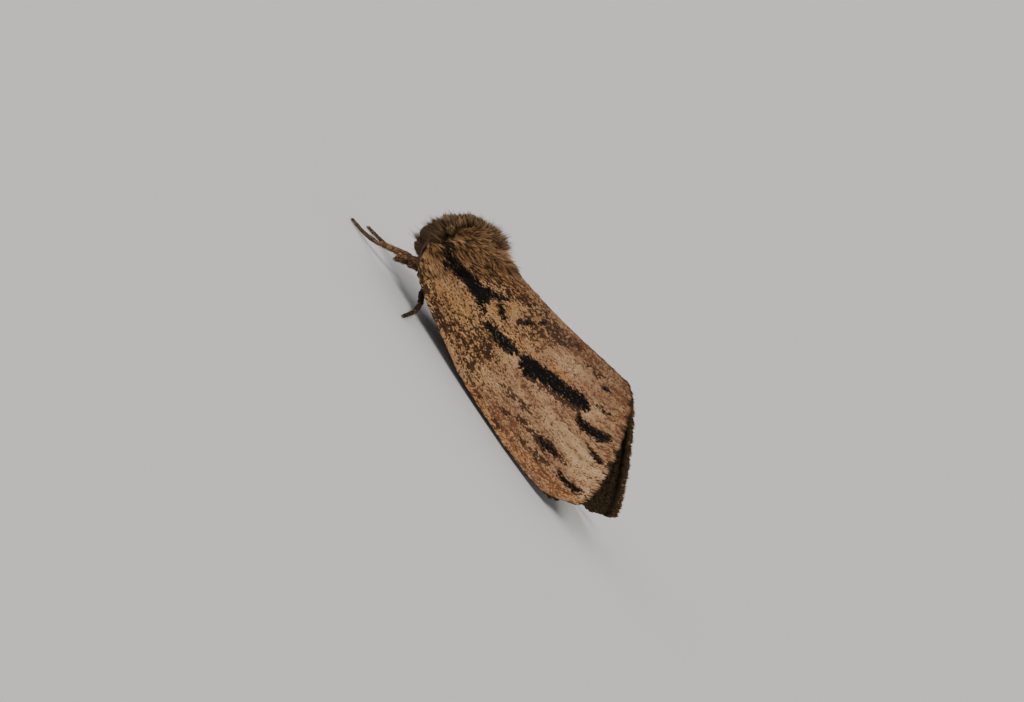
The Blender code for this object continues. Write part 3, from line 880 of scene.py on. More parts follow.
wingScale = wingFinish()
wingMembrane = membraneFinish()
# painted shade: the forewings' under-scales and under-fringe are a dull brown, painted much darker for the
# shade in the hollow under the wings
wingUnderPaintedShade = underFinish("wingUnderScale", (0.040, 0.025, 0.012), (0.074, 0.048, 0.024))
rootHair = underFinish("wingRootHair", (0.060, 0.036, 0.020), (0.260, 0.160, 0.085))
for label in sides:
    buildMembrane(label, wingMembrane)
    for half in forewing["halves"]:
        buildWingScales(label, half, wingScale)
    buildBaseHair(label, wingScale)
    buildFringe(label, wingScale, wingUnderPaintedShade)
    buildRidgeHair(label, wingScale)
    buildRootHair(label, rootHair)
    buildInnerScales(label, wingUnderPaintedShade)
print("forewings done")

# the hindwings are folded away behind the forewings

hindwing = {
    "depth": 0.90,              # behind the face of the roof
    "thickness": 0.06,
    "length": (0.25, 0.79),
    "width": (0.21, 0.69),
    "rounding": 0.2,            # how much shorter it is along its two edges
    "grid": (70, 40),
    "scaleRows": 50,
    "scaleColumns": 42,
    "scale": (0.34, 0.15, 0.012),
    "fringe": 0.55,             # how long the scales of its edge are
}


def hindwingAlong(share, across):
    # along the forewing, with the edges drawn in to a rounded outline
    first, last = hindwing["length"]
    low, high = hindwing["width"]
    toEdge = np.abs((across - low) / (high - low) * 2 - 1)
    middle = 0.5 * (first + last)
    reach = 0.5 * (last - first) * (1 - hindwing["rounding"] * toEdge ** 2.5)
    return middle + (2 * share - 1) * reach


def buildHindwing(label, membrane, scales):
    rows, columns = hindwing["grid"]
    share, across = flatGrid(np.linspace(0, 1, rows), np.linspace(*hindwing["width"], columns))
    along = hindwingAlong(share, across)
    depths = (hindwing["depth"], hindwing["depth"] + hindwing["thickness"])
    piece = addSheet("hindwingMembrane", label, along, across, depths, (rows, columns))
    addValues(piece, "place", np.tile(wingPlace(along, across), (2, 1)))
    finishPiece(piece, membrane, ["hindwing_" + label])
    rng = np.random.default_rng(71 + sides[label])
    length, width, height = hindwing["scale"]
    for face, depth, turn in (("Upper", -0.005, 1), ("Lower", hindwing["thickness"] + 0.005, -1)):
        share, across = sheetGrid(rng, hindwing["scaleRows"], hindwing["scaleColumns"], (0.0, 0.985),
                                  hindwing["width"])
        count = len(share)
        along = hindwingAlong(share, across)
        _, aft, down, out = roofFrame(along, across)
        out = out * turn
        size = rng.uniform(0.8, 1.25, count)
        ahead = aft + down * column(rng.normal(0, 0.12, count))
        ahead = ahead + out * column(rng.uniform(0.05, 0.14, count))
        growOnWing("hindwing" + face + "Scales", label, blade, scales, along, across, {
            "root": membranePoint(along, across, hindwing["depth"] + depth), "ahead": ahead, "up": out,
            **sized(np.where(share > 0.955, hindwing["fringe"], length), width, height, size),
            "bend": -out * 0.05, "values": ownNumbers({"place": wingPlace(along, across)}, rng, "grain"),
        })


hindwingMembrane = cloudyFinish("hindwingMembrane", (0.10, 0.075, 0.055), (0.19, 0.15, 0.115),
                                3.0, 0.4, 0.4, (0.4, 2.0, 1.0))
hindwingScale = underFinish("hindwingScale", (0.090, 0.068, 0.052), (0.20, 0.16, 0.13))
for label in sides:
    buildHindwing(label, hindwingMembrane, hindwingScale)
print("hindwings done")


# the body's skin is one closed surface inside the woolly solids

limbs = [leg + "_" + label for leg in ("foreleg", "midleg", "hindleg") for label in sides]
segments = ("coxa", "femur", "tibia", "tarsus")
limbNodes = [limb + "_" + segment for limb in limbs for segment in segments]
palps = ["palp_" + label for label in sides]
chest = ["collar", "thorax"] + ["tegula_" + label for label in sides]
trunk = ["head", "abdomen"] + chest
flesh = trunk + palps + limbNodes
skin = {
    "thoraxDepth": (0.85, 0.70, 0.95),      # from the tips of the wool to the flesh
    "thoraxDrop": 0.25,
    "headDepth": (0.42, 0.38, 0.40),
    "neck": 0.80,
    "waist": 0.80,
    "hip": 0.50,
    "mouth": 0.36,
    "knuckle": 0.155,
    "abdomenDepth": 0.30,
    "limbDepth": 0.07,
    "footDepth": 0.04,
    "voxel": 0.075,
}


def boxOf(*names):
    # the middle and half size of some solids together, in millimetres
    corners = np.array([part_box(name) for name in names]) / mm
    low, high = corners[:, 0].min(0), corners[:, 1].max(0)
    return (low + high) / 2, (high - low) / 2


def pointsOf(name):
    return readAll(nodes[name].data.vertices, "co", 3).astype(float) / mm


def nearestPair(first, second):
    # the middle of the gap between two solids
    a, b = pointsOf(first), pointsOf(second)
    gaps = np.linalg.norm(a[:, None] - b[None], axis=2)
    i, j = np.unravel_index(gaps.argmin(), gaps.shape)
    return (a[i] + b[j]) / 2


def limbEnds(name):
    # the two ends of a limb's solid, the one nearer the body first
    points = pointsOf(name)
    middle = points.mean(0)
    axis = np.linalg.svd(points - middle, full_matrices=False)[2][0]
    reach = (points - middle) @ axis
    first, last = middle + axis * reach.min(), middle + axis * reach.max()
    leg, label, segment = name.split("_")
    before = segments.index(segment) - 1
    start = boxOf("thorax" if before < 0 else "_".join((leg, label, segments[before])))[0]
    if np.linalg.norm(last - start) < np.linalg.norm(first - start):
        first, last = last, first
    return first, last


def addBall(place, radii):
    bpy.ops.mesh.primitive_uv_sphere_add(segments=40, ring_count=24, radius=mm,
                                         location=Vector(place) * mm)
    ball = bpy.context.object
    ball.scale = np.broadcast_to(radii, 3)
    bpy.ops.object.transform_apply(location=True, rotation=False, scale=True)
    return ball


def addThinner(name, depth):
    # a copy of a solid, drawn in all round
    piece = bpy.data.objects.new(name + "_flesh", nodes[name].data.copy())
    bpy.context.scene.collection.objects.link(piece)
    deselectAll()
    piece.select_set(True)
    bpy.context.view_layer.objects.active = piece
    bpy.ops.object.mode_set(mode="EDIT")
    bpy.ops.mesh.select_all(action="SELECT")
    bpy.ops.mesh.remove_doubles(threshold=1e-6)
    bpy.ops.transform.shrink_fatten(value=-depth * mm)
    bpy.ops.object.mode_set(mode="OBJECT")
    return piece


def applyModifier(piece, kind, **settings):
    modifier = piece.modifiers.new(kind, kind)
    for key, value in settings.items():
        setattr(modifier, key, value)
    bpy.context.view_layer.objects.active = piece
    bpy.ops.object.modifier_apply(modifier=modifier.name)


def buildSkin():
    deselectAll()
    middle, half = boxOf(*chest)
    parts = [addBall(middle - [0, 0, skin["thoraxDrop"]], half - skin["thoraxDepth"])]
    headMiddle, headHalf = boxOf("head")
    parts.append(addBall(headMiddle, headHalf - skin["headDepth"]))
    parts.append(addBall(headMiddle * 0.55 + (middle - [0, half[1] * 0.6, 0]) * 0.45, skin["neck"]))
    parts.append(addBall(nearestPair("thorax", "abdomen") * [0, 1, 1], skin["waist"]))
    parts.append(addThinner("abdomen", skin["abdomenDepth"]))
    for name in palps:
        parts.append(addThinner(name, skin["limbDepth"]))
        parts.append(addBall(nearestPair("head", name) + [0, 0, 0.1], skin["mouth"]))
    for limb in limbs:
        top = limbEnds(limb + "_coxa")[0]
        parts.append(addBall(top + [0, 0, 0.45], (skin["hip"], skin["hip"], 0.65)))
        for upper, lower in zip(segments, segments[1:]):
            joint = (limbEnds(limb + "_" + upper)[1] + limbEnds(limb + "_" + lower)[0]) / 2
            parts.append(addBall(joint, skin["knuckle"]))
    for name in limbNodes:
        parts.append(addThinner(name, skin["footDepth" if "tarsus" in name else "limbDepth"]))
    deselectAll()
    for part in parts:
        part.select_set(True)
    bpy.context.view_layer.objects.active = parts[0]
    bpy.ops.object.join()
    piece = bpy.context.object
    piece.name = piece.data.name = "bodySkin"
    applyModifier(piece, "REMESH", mode="VOXEL", voxel_size=skin["voxel"] * mm, use_smooth_shade=True)
    applyModifier(piece, "SMOOTH", factor=0.5, iterations=4)
    return piece


bodySkin = buildSkin()
print("body skin", len(bodySkin.data.polygons), "faces")


wool = {
    # how many tufts, the shortest and the longest in millimetres, their width, how far they stand out
    # from a limb, and how much their tips are pulled together
    "thorax": {"count": 8200, "length": (0.65, 1.75), "width": 0.042, "pull": 0.62},
    "shoulder": {"count": 8400, "length": (1.05, 2.15), "width": 0.042, "pull": 0.55},
    "head": {"count": 6500, "length": (0.32, 0.85), "width": 0.036, "pull": 0.45},
    "cheek": {"count": 3600, "length": (1.25, 2.05), "width": 0.038, "pull": 0.45},
    "palp": {"count": 1200, "length": (0.12, 0.30), "width": 0.034, "stand": 0.45, "pull": 0.2},
    "abdomen": {"count": 3400, "length": (0.35, 0.75), "width": 0.060, "pull": 0.35},
    "thigh": {"count": 3600, "length": (0.20, 0.55), "width": 0.050, "stand": 0.45, "pull": 0.35},
    "shin": {"count": 3600, "length": (0.16, 0.46), "width": 0.042, "stand": 0.45, "pull": 0.25},
    "foot": {"count": 3600, "length": (0.12, 0.22), "width": 0.036, "stand": 0.38, "pull": 0.0},
}
kinds = list(wool)
shades = {
    "thorax": ((0.052, 0.030, 0.016), (0.330, 0.208, 0.108)),
    "shoulder": ((0.110, 0.056, 0.027), (0.520, 0.310, 0.158)),
    "head": ((0.044, 0.026, 0.014), (0.210, 0.130, 0.068)),
    "cheek": ((0.040, 0.023, 0.012), (0.190, 0.116, 0.060)),
    "palp": ((0.060, 0.037, 0.022), (0.220, 0.138, 0.080)),
    "abdomen": ((0.100, 0.066, 0.042), (0.280, 0.195, 0.125)),
    "thigh": ((0.150, 0.082, 0.046), (0.440, 0.255, 0.150)),
    "shin": ((0.200, 0.104, 0.057), (0.540, 0.305, 0.180)),
    "foot": ((0.080, 0.050, 0.032), (0.240, 0.158, 0.100)),
}
darkLimb = {"midleg": 0.20}     # the middle legs are darker
body = {
    # painted shade: the thorax is painted darker above this height, over this rise, by this much, for the
    # shade on its top
    "crown": (5.4, 1.0, 0.35),
    # a dark line: how far in front of the collar's back, its width, its lowest place, how dark
    "line": (0.35, 0.16, 4.5, 0.6),
    "turn": 1.8,                # the wool turns from headward to tailward over this length
    "flank": (5.0, 2.5),        # it hangs below this height, over this drop
    "shoulder": 1.5,            # how far in front of the wings the shoulder hair reaches
    "cheek": (0, 0.7, 0.1),     # its middle, from the eye's
    "unwrap": (-10.5, 18.5),    # where the trunk's unwrap starts, and its length
}
footRings = {
    # pale rings where the joints of the foot end, and one at its start
    "count": 5,
    "start": 0.78,              # as a share of each joint
    "ankle": 0.05,              # as a share of the foot
    "shades": ((0.18, 0.120, 0.072), (0.34, 0.240, 0.155)),
}


def kindOf(name):
    if name in ("collar", "thorax"):
        return "thorax"
    if name.startswith("tegula"):
        return "shoulder"
    if name.startswith("palp"):
        return "palp"
    if name in ("head", "abdomen"):
        return name
    return {"coxa": "thigh", "femur": "thigh", "tibia": "shin", "tarsus": "foot"}[name.split("_")[2]]


def isKind(kind, *names):
    return np.isin(kind, [kinds.index(name) for name in names])


def solidTree(names):
    # one tree of all the solids, with the solid that each triangle belongs to
    points, faces, owners = [], [], []
    first = 0
    for index, name in enumerate(names):
        own, triangles = readMesh(nodes[name].data)
        points.append(own)
        faces.append(triangles + first)
        owners += [index] * len(triangles)
        first += len(own)
    points, faces = np.concatenate(points), np.concatenate(faces)
    return BVHTree.FromPolygons(points.tolist(), faces.tolist()), np.array(owners)


fleshTree, fleshOwners = solidTree(flesh)
ownerKinds = np.array([kinds.index(kindOf(name)) for name in flesh])


def ownersOf(points, normals):
    # which solid's coat covers each point of the skin
    owners = np.empty(len(points), int)
    for i, (point, normal) in enumerate(zip(points.tolist(), normals.tolist())):
        point, normal = Vector(point), Vector(normal)
        nearest = fleshTree.find_nearest(point)
        owner = fleshOwners[nearest[2]]
        if flesh[owner] in trunk:
            hit = fleshTree.ray_cast(point + normal * 6, -normal, 6)
            if hit[0] is not None and flesh[fleshOwners[hit[2]]] in trunk:
                owner = fleshOwners[hit[2]]
        owners[i] = owner
    return owners


def coverOf(points, directions, farthest):
    # how far it is from the skin to the outer face of the solids
    depths = np.empty(len(points))
    for i, (point, direction) in enumerate(zip(points.tolist(), directions.tolist())):
        direction = Vector(direction)
        hit = fleshTree.ray_cast(Vector(point) + direction * farthest, -direction, farthest)
        depths[i] = 0 if hit[0] is None else farthest - hit[3]
    return depths


def limbWays():
    # for each solid of a limb, its start and the way to the foot
    ways = {}
    for name in limbNodes:
        first, last = limbEnds(name)
        ways[flesh.index(name)] = (first, last - first)
    for name in palps:
        middle, half = boxOf(name)
        ways[flesh.index(name)] = (middle + half * [0, 1, -1], np.array([0.0, -1.75, 0.45]))
    return ways


ways = limbWays()


def bodyShades(points, owners, kind):
    # a darker and a lighter colour for each place on the body
    low = np.array([shades[key][0] for key in kinds])[kind]
    high = np.array([shades[key][1] for key in kinds])[kind]
    for owner, (first, way) in ways.items():
        own = owners == owner
        fade = darkLimb.get(flesh[owner].split("_")[0], 1.0)
        low[own] *= fade
        high[own] *= fade
        if "tarsus" not in flesh[owner]:
            continue
        reach = (points[own] - first) @ way / (way @ way)
        ring = np.mod(np.clip(reach, 0, 0.999) * footRings["count"], 1) > footRings["start"]
        ring = ring | (reach < footRings["ankle"])
        for shade, pale in zip((low, high), footRings["shades"]):
            shade[own] = np.where(ring[:, None], [pale], shade[own])
    ahead, width, lowest, depth = body["line"]
    back = points[:, 1] - collarBack
    line = np.exp(-((back + ahead) / width) ** 2) * isKind(kind, "thorax") * (points[:, 2] > lowest)
    # painted shade on the top of the thorax
    height, rise, darker = body["crown"]
    top = np.clip((points[:, 2] - height) / rise, 0, 1) * isKind(kind, "thorax")
    fade = (1 - depth * line) * (1 - darker * top)
    return low * fade[:, None], high * fade[:, None]


collarBack = (boxOf("collar")[0] + boxOf("collar")[1])[1]
parting = boxOf(*chest)[0] + [0, 0.4, 0]


def trunkLie(points, normals, key):
    # the way one kind of wool points on the trunk
    height, drop = body["flank"]
    tailward = np.clip((points[:, 1] - parting[1]) / body["turn"], -1, 1)
    low = np.clip((height - points[:, 2]) / drop, 0, 1)
    outward = np.sign(points[:, :1]) * leftward
    # how much of the skin's own facing, of tailward and of upward
    lies = {
        "thorax": (1.0, 0.60 * tailward + 0.35 * low, 0.30 - 0.45 * low),
        "shoulder": (0.80, 0.95 + 0.20 * tailward, 0.12 - 0.25 * low),
        "head": (1.0, -0.45 + 0 * low, 0.25 - 0.55 * low),
        "cheek": (0.60, -0.75 + 0 * low, 0 * low),
        "abdomen": (0.35, 1.0 + 0 * low, 0 * low),
    }
    facing, back, rise = lies[key]
    ahead = normals * facing + tail * column(back) + skyward * column(rise)
    return ahead + outward * 0.80 if key == "cheek" else ahead


def kindsOf(points, owners):
    # shoulder hair borders the wings, and the cheeks are behind the eyes
    kind = ownerKinds[owners].copy()
    front, back = np.array(roof["costa"][0]), np.array(roof["ridge"][0])
    rise = np.clip((points[:, 2] - front[2]) / (back[2] - front[2]), 0, 1)
    ahead = roof["backOfThorax"] + front[1] + (back[1] - front[1]) * rise - points[:, 1]
    nearWing = (ahead < body["shoulder"]) & (points[:, 2] > front[2] - 0.5)
    kind[nearWing & isKind(kind, "thorax")] = kinds.index("shoulder")
    head = isKind(kind, "head", "thorax", "shoulder")
    beside = np.abs(points[:, 0])
    gap = np.stack([beside, points[:, 1], points[:, 2]], 1) - boxOf("eye_left")[0] - body["cheek"]
    gap = gap / [1.0, 1.0, 1.1]
    behindEye = (beside > 0.5) & (gap[:, 1] > -0.5) & (np.linalg.norm(gap, axis=1) < 1)
    kind[head & behindEye] = kinds.index("cheek")
    return kind


def scatter(rng, faceKinds, areas, key):
    # faces of one kind, picked by their area, and the place within each
    own = np.flatnonzero(isKind(faceKinds, key))
    chosen = rng.choice(own, wool[key]["count"], p=areas[own] / areas[own].sum())
    first, second = rng.random(len(chosen)), rng.random(len(chosen))
    over = first + second > 1
    first[over], second[over] = 1 - first[over], 1 - second[over]
    return chosen, np.stack([1 - first - second, first, second], 1)


def clumped(rng, root, tip, pull):
    # tips drawn together in loose locks
    if pull == 0:
        return tip
    leaders = rng.choice(len(root), max(len(root) // 24, 1), replace=False)
    tree = KDTree(len(leaders))
    for i, leader in enumerate(leaders):
        tree.insert(root[leader], i)
    tree.balance()
    nearest = leaders[[tree.find(point)[1] for point in root.tolist()]]
    gathered = tip[nearest] + (root - root[nearest]) * 0.35
    return tip + (gathered - tip) * (pull * rng.uniform(0.3, 1.3, len(root)))[:, None]


def bodyUnwrap(points, owners):
    # trunk rolled out round its length, each limb in a strip of its own
    middle = parting[2] - 0.6
    turn = np.arctan2(points[:, 0], points[:, 2] - middle) / (2 * pi) + 0.5
    start, length = body["unwrap"]
    run = (points[:, 1] - start) / length
    unwrap = np.stack([turn * 0.60 + 0.02, run * 0.94 + 0.03], 1)
    for strip, (owner, (first, way)) in enumerate(ways.items()):
        own = owners == owner
        gap = points[own] - first
        reach = gap @ way / (way @ way)
        side = np.cross(unit(way), skyward)
        spin = np.arctan2(gap @ unit(side), gap @ np.cross(unit(side), unit(way))) / (2 * pi) + 0.5
        across, up = divmod(strip, 7)
        up = up + 0.9 * np.clip(reach, 0, 1)
        unwrap[own] = np.stack([0.65 + 0.085 * across + 0.075 * spin, 0.02 + 0.138 * up], 1)
    return unwrap


def woolCoat(rng, key, root, normal, owner):
    settings = wool[key]
    count = len(root)
    if "stand" in settings:
        ahead = np.empty_like(root)
        for solid, (_, way) in ways.items():
            own = owner == solid
            ahead[own] = unit(way) + normal[own] * settings["stand"]
    else:
        ahead = trunkLie(root, normal, key)
    astray = 0.34 * waver(root, 0.8, 3) + 0.40 * waver(root, 2.2, 1) + rng.normal(0, 0.16, (count, 3))
    ahead = unit(unit(ahead) + astray * (0.4 if key == "foot" else 1.0))
    reach = coverOf(root, ahead, 4.0)
    length = np.clip(reach * rng.uniform(0.68, 1.10, count), *settings["length"])
    length = length * rng.uniform(0.85, 1.0, count)
    tip = clumped(rng, root, root + ahead * length[:, None], settings["pull"])
    tip[:, 2] = np.maximum(tip[:, 2], 0.01)
    ahead = tip - root
    low, high = bodyShades(root, owner, np.full(count, kinds.index(key)))
    size = settings["width"] * rng.uniform(0.75, 1.25, count)
    stray = (rng.random(count) < 0.15) & (key in ("thorax", "shoulder", "cheek"))
    size = size * np.where(stray, 0.60, 1.0)
    length = np.linalg.norm(ahead, axis=1) * np.where(stray, 1.35, 1.0)
    return {
        "root": root - normal * 0.015, "ahead": ahead, "up": normal,
        "length": length, "width": size, "height": 0.7 * size,
        "bend": tail * column(rng.normal(0.05, 0.10, count)) - skyward * 0.06,
        "unwrap": bodyUnwrap(root, owner),
        "values": ownNumbers({"place": root, "lowShade": low, "highShade": high}, rng, "grain"),
    }


def buildWool(finish):
    points, corners = readMesh(bodySkin.data)
    normals = readAll(bodySkin.data.vertices, "normal", 3).astype(float)
    places = points[corners].mean(1)
    facing = unit(normals[corners].mean(1))
    edges = points[corners[:, 1:]] - points[corners[:, :1]]
    areas = np.linalg.norm(np.cross(edges[:, 0], edges[:, 1]), axis=1)
    owners = ownersOf(places, facing)
    faceKinds = kindsOf(places, owners)
    rng = np.random.default_rng(5)
    for key in wool:
        chosen, shares = scatter(rng, faceKinds, areas, key)
        root = (points[corners[chosen]] * shares[:, :, None]).sum(1)
        normal = unit((normals[corners[chosen]] * shares[:, :, None]).sum(1))
        coat = woolCoat(rng, key, root, normal, owners[chosen])
        shape = longHair if key in ("thorax", "shoulder", "abdomen") else shortHair
        for label in sides:
            piece = growTufts(key + "Wool_" + label, shape, someOf(coat, root[:, 0] * sides[label] > 0))
            finishPiece(piece, finish)
    owners = ownersOf(points, normals)
    low, high = bodyShades(points, owners, kindsOf(points, owners))
    for name, value in (("place", points), ("lowShade", low), ("highShade", high)):
        addValues(bodySkin, name, value)


def woolColour(finish, grain):
    place = finish.place()
    cloud = finish.noise(place, 1.3, 3.0)
    streak = finish.noise(place, 6.0, 1.0)
    share = finish.ease(cloud * 0.55 + streak * 0.45 + (grain - 0.5) * 0.55, 0.33, 0.67)
    return finish.mix(share, finish.values("lowShade", "Color"), finish.values("highShade", "Color"))


def woolFinish():
    finish = Finish("woolHair")
    grain = finish.values("grain")
    along = finish.values("along")
    # painted shade: each hair is darker towards its root, for the shade in the gaps between the hairs
    colour = finish.scaled(woolColour(finish, grain), 0.40 + finish.ease(along, 0.0, 0.7) * 0.70)
    paleTip = finish.ease(along, 0.60, 1.0) * finish.ease(grain, 0.35, 0.65)
    colour = finish.mix(paleTip * 0.70, colour, finish.scaled(finish.values("highShade", "Color"), 1.40))
    return finish.shade({"Specular IOR Level": 0.15}, Base_Color=colour, Roughness=0.6 + grain * 0.15)


def skinFinish():
    finish = Finish("bodySkin")
    pits = finish.noise(finish.place(), 14.0, 3.0)
    # painted shade: the skin is painted near black, for the shade where it shows between the wool
    colour = finish.mix(0.85, woolColour(finish, pits), (0.026, 0.015, 0.008))
    bump = finish.add("ShaderNodeBump", {}, {"Strength": 0.5, "Distance": 0.00003, "Height": pits})
    return finish.shade({"Specular IOR Level": 0.08}, Base_Color=colour, Roughness=0.75 + pits * 0.2,
                        Normal=bump)


buildWool(woolFinish())
finishPiece(bodySkin, skinFinish(), flesh)
print("wool done")


def tube(path, radii, around=10):
    # a closed round tube of triangles along a path, all in millimetres
    path = np.asarray(path, float)
    ways = unit(np.gradient(path, axis=0))
    side = np.cross(ways[0], skyward if abs(ways[0][2]) < 0.9 else tail)
    rings = []
    for place, way, radius in zip(path, ways, radii):
        side = side - way * (side @ way)
        side = side / np.linalg.norm(side)
        other = np.cross(way, side)
        turn = 2 * pi * np.arange(around) / around
        rings.append(place + radius * (np.outer(np.cos(turn), side) + np.outer(np.sin(turn), other)))
    points = np.concatenate(rings + [path[:1], path[-1:]])
    grid = np.arange(len(path) * around).reshape(len(path), around)
    a, b = grid[:-1], np.roll(grid[:-1], -1, axis=1)
    c, d = np.roll(grid[1:], -1, axis=1), grid[1:]
    faces = [np.stack([a, b, c], -1).reshape(-1, 3), np.stack([a, c, d], -1).reshape(-1, 3)]
    first, last = len(points) - 2, len(points) - 1
    faces.append(np.stack([np.full(around, first), np.roll(grid[0], -1), grid[0]], -1))
    faces.append(np.stack([np.full(around, last), grid[-1], np.roll(grid[-1], -1)], -1))
    return points, np.concatenate(faces)


def joinShapes(shapes):
    points, faces, first = [], [], 0
    for own, ownFaces in shapes:
        points.append(own)
        faces.append(ownFaces + first)
        first += len(own)
    return np.concatenate(points), np.concatenate(faces)


eye = {
    "inset": 0.015,
    "splits": 4,
    "facetShare": 33.3,         # cut from each corner, which leaves six-sided facets
    "facetRise": 0.006,
}


def buildEye(label, finish):
    middle, half = boxOf("eye_" + label)
    deselectAll()
    radius = (half.mean() - eye["inset"]) * mm
    bpy.ops.mesh.primitive_ico_sphere_add(subdivisions=eye["splits"], radius=radius,
                                          location=Vector(middle) * mm)
    piece = bpy.context.object
    piece.name = piece.data.name = "eyeball_" + label
    bpy.ops.object.mode_set(mode="EDIT")
    bpy.ops.mesh.select_all(action="SELECT")
    bpy.ops.mesh.bevel(offset_type="PERCENT", offset_pct=eye["facetShare"], affect="VERTICES")
    bpy.ops.mesh.select_all(action="SELECT")
    bpy.ops.mesh.poke(offset=eye["facetRise"] * mm)
    bpy.ops.mesh.normals_make_consistent(inside=False)
    bpy.ops.object.mode_set(mode="OBJECT")
    piece.data.shade_smooth()
    bpy.ops.object.transform_apply(location=True, rotation=True, scale=True)
    return finishPiece(piece, finish, ["eye_" + label])


def eyeFinish():
    finish = Finish("eyeLens")
    place = finish.add("ShaderNodeTexCoord", output="Object")
    cloud = finish.noise(place, 1400.0, 3.0)
    colour = finish.mix(finish.ease(cloud, 0.35, 0.7), (0.008, 0.006, 0.004), (0.034, 0.023, 0.012))
    return finish.shade({"Specular IOR Level": 0.32, "IOR": 1.5}, Base_Color=colour,
                        Roughness=0.22 + cloud * 0.12)


feeler = {
    # stations from the back of the thorax, from the brow back under the wing
    "path": ((0.55, -4.62, 4.12), (0.82, -4.68, 4.36), (1.12, -4.55, 4.42), (1.42, -4.26, 4.22),
             (1.66, -3.96, 3.80), (1.80, -3.72, 3.26), (1.86, -3.45, 2.68), (1.93, -2.80, 2.10),
             (2.05, -1.60, 1.72), (2.12, -0.40, 1.66), (2.20, 1.20, 1.60), (2.30, 3.15, 1.50)),
    "joints": 64,
    "thick": 0.105,             # radius near the brow
    "thin": 0.030,
    "swell": (0.84, 1.0, 1.05),
    "brow": 0.16,
    "Hairs": (1000, (0.12, 0.014)),     # how many, their length and width
    "Scales": (1100, (0.13, 0.055)),
}


def feelerRadius(share):
    radius = feeler["thick"] + (feeler["thin"] - feeler["thick"]) * share ** 0.8
    return np.where(share < 0.045, feeler["brow"] * (1 - 0.25 * np.cos(share / 0.045 * 2 * pi)), radius)


def feelerPath(share):
    return readCurve(feeler["path"], share) + [0, roof["backOfThorax"], 0]


def buildFeeler(label, shaft, hairs):
    side = sides[label]
    share = np.linspace(0, 1, feeler["joints"] * 3)
    radii = feelerRadius(share) * np.tile(feeler["swell"], feeler["joints"])
    points, faces = tube(feelerPath(share), radii)
    joint = np.concatenate([np.repeat(np.tile([1.0, 0.5, 0.0], feeler["joints"]), 10), [1.0, 0.0]])
    points[:, 0] *= side
    piece = addPiece("feelerShaft_" + label, points, faces[:, ::side])
    addValues(piece, "place", points)
    addValues(piece, "ring", joint)
    finishPiece(piece, shaft, ["antenna_" + label])
    rng = np.random.default_rng(91 + side)
    for name, shape, around, stand in (("Hairs", shortHair, pi, 1.6), ("Scales", blade, 0.0, 0.22)):
        count, (length, width) = feeler[name]
        share = rng.uniform(0.004, 0.985, count)
        place = feelerPath(share)
        way = unit(feelerPath(share + 0.008) - feelerPath(share - 0.008))
        across = unit(np.cross(way, skyward))
        turn = rng.uniform(-1.1, 1.1, count) + around
        out = across * column(np.sin(turn)) + np.cross(across, way) * column(np.cos(turn))
        size = rng.uniform(0.7, 1.15, count)
        piece = growTufts("feeler" + name + "_" + label, shape, {
            "root": place + out * column(feelerRadius(share) * 0.92), "ahead": way + out * stand, "up": out,
            **sized(length, width, width * 0.3, size), "bend": way * 0.2,
            "unwrap": np.stack([turn / (2 * pi) * 0.4 + 0.3, share * 0.9 + 0.05], 1),
            "values": ownNumbers({"place": place}, rng, "grain"),
        }, side)
        finishPiece(piece, hairs)


def shaftFinish():
    finish = Finish("feelerShaft")
    cloud = finish.noise(finish.place(), 9.0, 3.0)
    ring = finish.values("ring")
    colour = finish.mix(finish.ease(ring + (cloud - 0.5) * 0.5, 0.6, 0.95), (0.090, 0.055, 0.031),
                        (0.034, 0.020, 0.012))
    return finish.shade({"Specular IOR Level": 0.4}, Base_Color=colour, Roughness=0.38 + cloud * 0.2)


# the tongue's coil, from the head's middle
tongue = {"ahead": 0.44, "drop": 1.34, "turns": 2.4, "reach": 0.27, "radius": 0.050}


def buildTongue(finish):
    middle = boxOf("head")[0] - [0, tongue["ahead"], tongue["drop"]]
    share = np.linspace(0, 1, 90)
    turn = 2 * pi * tongue["turns"] * share
    reach = tongue["reach"] * (1 - 0.78 * share)
    coil = middle + np.stack([0.03 * share, -reach * np.sin(turn), reach * np.cos(turn)], 1)
    stem = coil[0] + np.outer(np.linspace(1, 0, 8)[:-1], [0, 0.30, 0.34])
    path = np.concatenate([stem, coil])
    ridges = 1 + 0.07 * np.sin(np.arange(len(path)) * 1.9)
    radii = np.linspace(tongue["radius"], tongue["radius"] * 0.45, len(path)) * ridges
    points, faces = tube(path, radii)
    piece = addPiece("tongue", points, faces)
    addValues(piece, "place", points)
    return finishPiece(piece, finish)


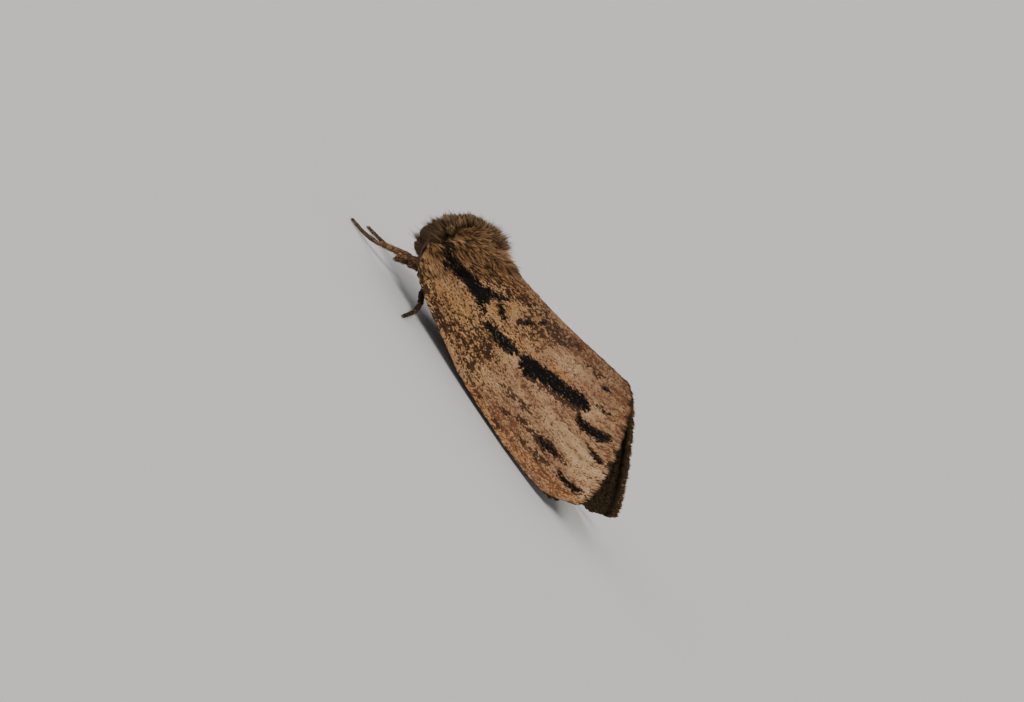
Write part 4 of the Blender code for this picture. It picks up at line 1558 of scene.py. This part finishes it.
claw = {"length": 0.20, "radius": 0.028, "spread": 0.55, "hook": 0.9, "pad": 0.05}
spur = {"length": 0.62, "shorter": 0.72, "radius": 0.045, "spread": 0.42, "bend": 0.05}
spurred = {"midleg": (0.97,), "hindleg": (0.62, 0.97)}      # where along the shin its pairs of spurs are


def hook(start, way, sideways, downward, length, radius, bend):
    share = np.linspace(0, 1, 8)
    path = start + length * (np.outer(share, way) + np.outer(share * (1 - share) * 0.9, sideways)
                             + np.outer(bend * share ** 2, downward))
    return tube(path, radius * np.sqrt(1 - share ** 1.6 * 0.985), around=7)


def buildClaws(finish):
    shapes = []
    for limb in limbs:
        first, last = limbEnds(limb + "_tarsus")
        way = unit(last - first)
        across = unit(np.cross(way, skyward))
        start = last - way * 0.12
        for turn in (1, -1):
            ahead = unit(way + across * turn * claw["spread"] + skyward * 0.15)
            shapes.append(hook(start, ahead, across * turn * 0.6, -skyward * 0.35, claw["length"],
                               claw["radius"], claw["hook"] * 0.4))
        pad = np.outer(np.linspace(0, 1, 6), way * 0.13) + start - skyward * 0.01
        shapes.append(tube(pad, claw["pad"] * np.array([0.5, 0.9, 1.0, 0.95, 0.7, 0.2])))
        for share in spurred.get(limb.split("_")[0], ()):
            first, last = limbEnds(limb + "_tibia")
            way = unit(last - first)
            across = unit(np.cross(way, skyward))
            start = first + (last - first) * share
            for turn in (1, -1):
                ahead = unit(way + across * turn * spur["spread"] - skyward * 0.12)
                length = spur["length"] * (1.0 if turn > 0 else spur["shorter"])
                shapes.append(hook(start, ahead, across * turn * 0.2, -skyward, length, spur["radius"],
                                   spur["bend"]))
    points, faces = joinShapes(shapes)
    points[:, 2] = np.maximum(points[:, 2], 0.004)
    piece = addPiece("clawsAndSpurs", points, faces)
    addValues(piece, "place", points)
    return finishPiece(piece, finish)


eyeLens = eyeFinish()
feelerHair = underFinish("feelerHair", (0.060, 0.038, 0.022), (0.230, 0.150, 0.090))
feelerShaft = shaftFinish()
hornyParts = cloudyFinish("hornyParts", (0.035, 0.018, 0.009), (0.110, 0.058, 0.028), 11.0, 0.5, 0.25)
for label in sides:
    buildEye(label, eyeLens)
    buildFeeler(label, feelerShaft, feelerHair)
buildTongue(hornyParts)
buildClaws(hornyParts)
print("eyes, feelers, tongue and claws done")
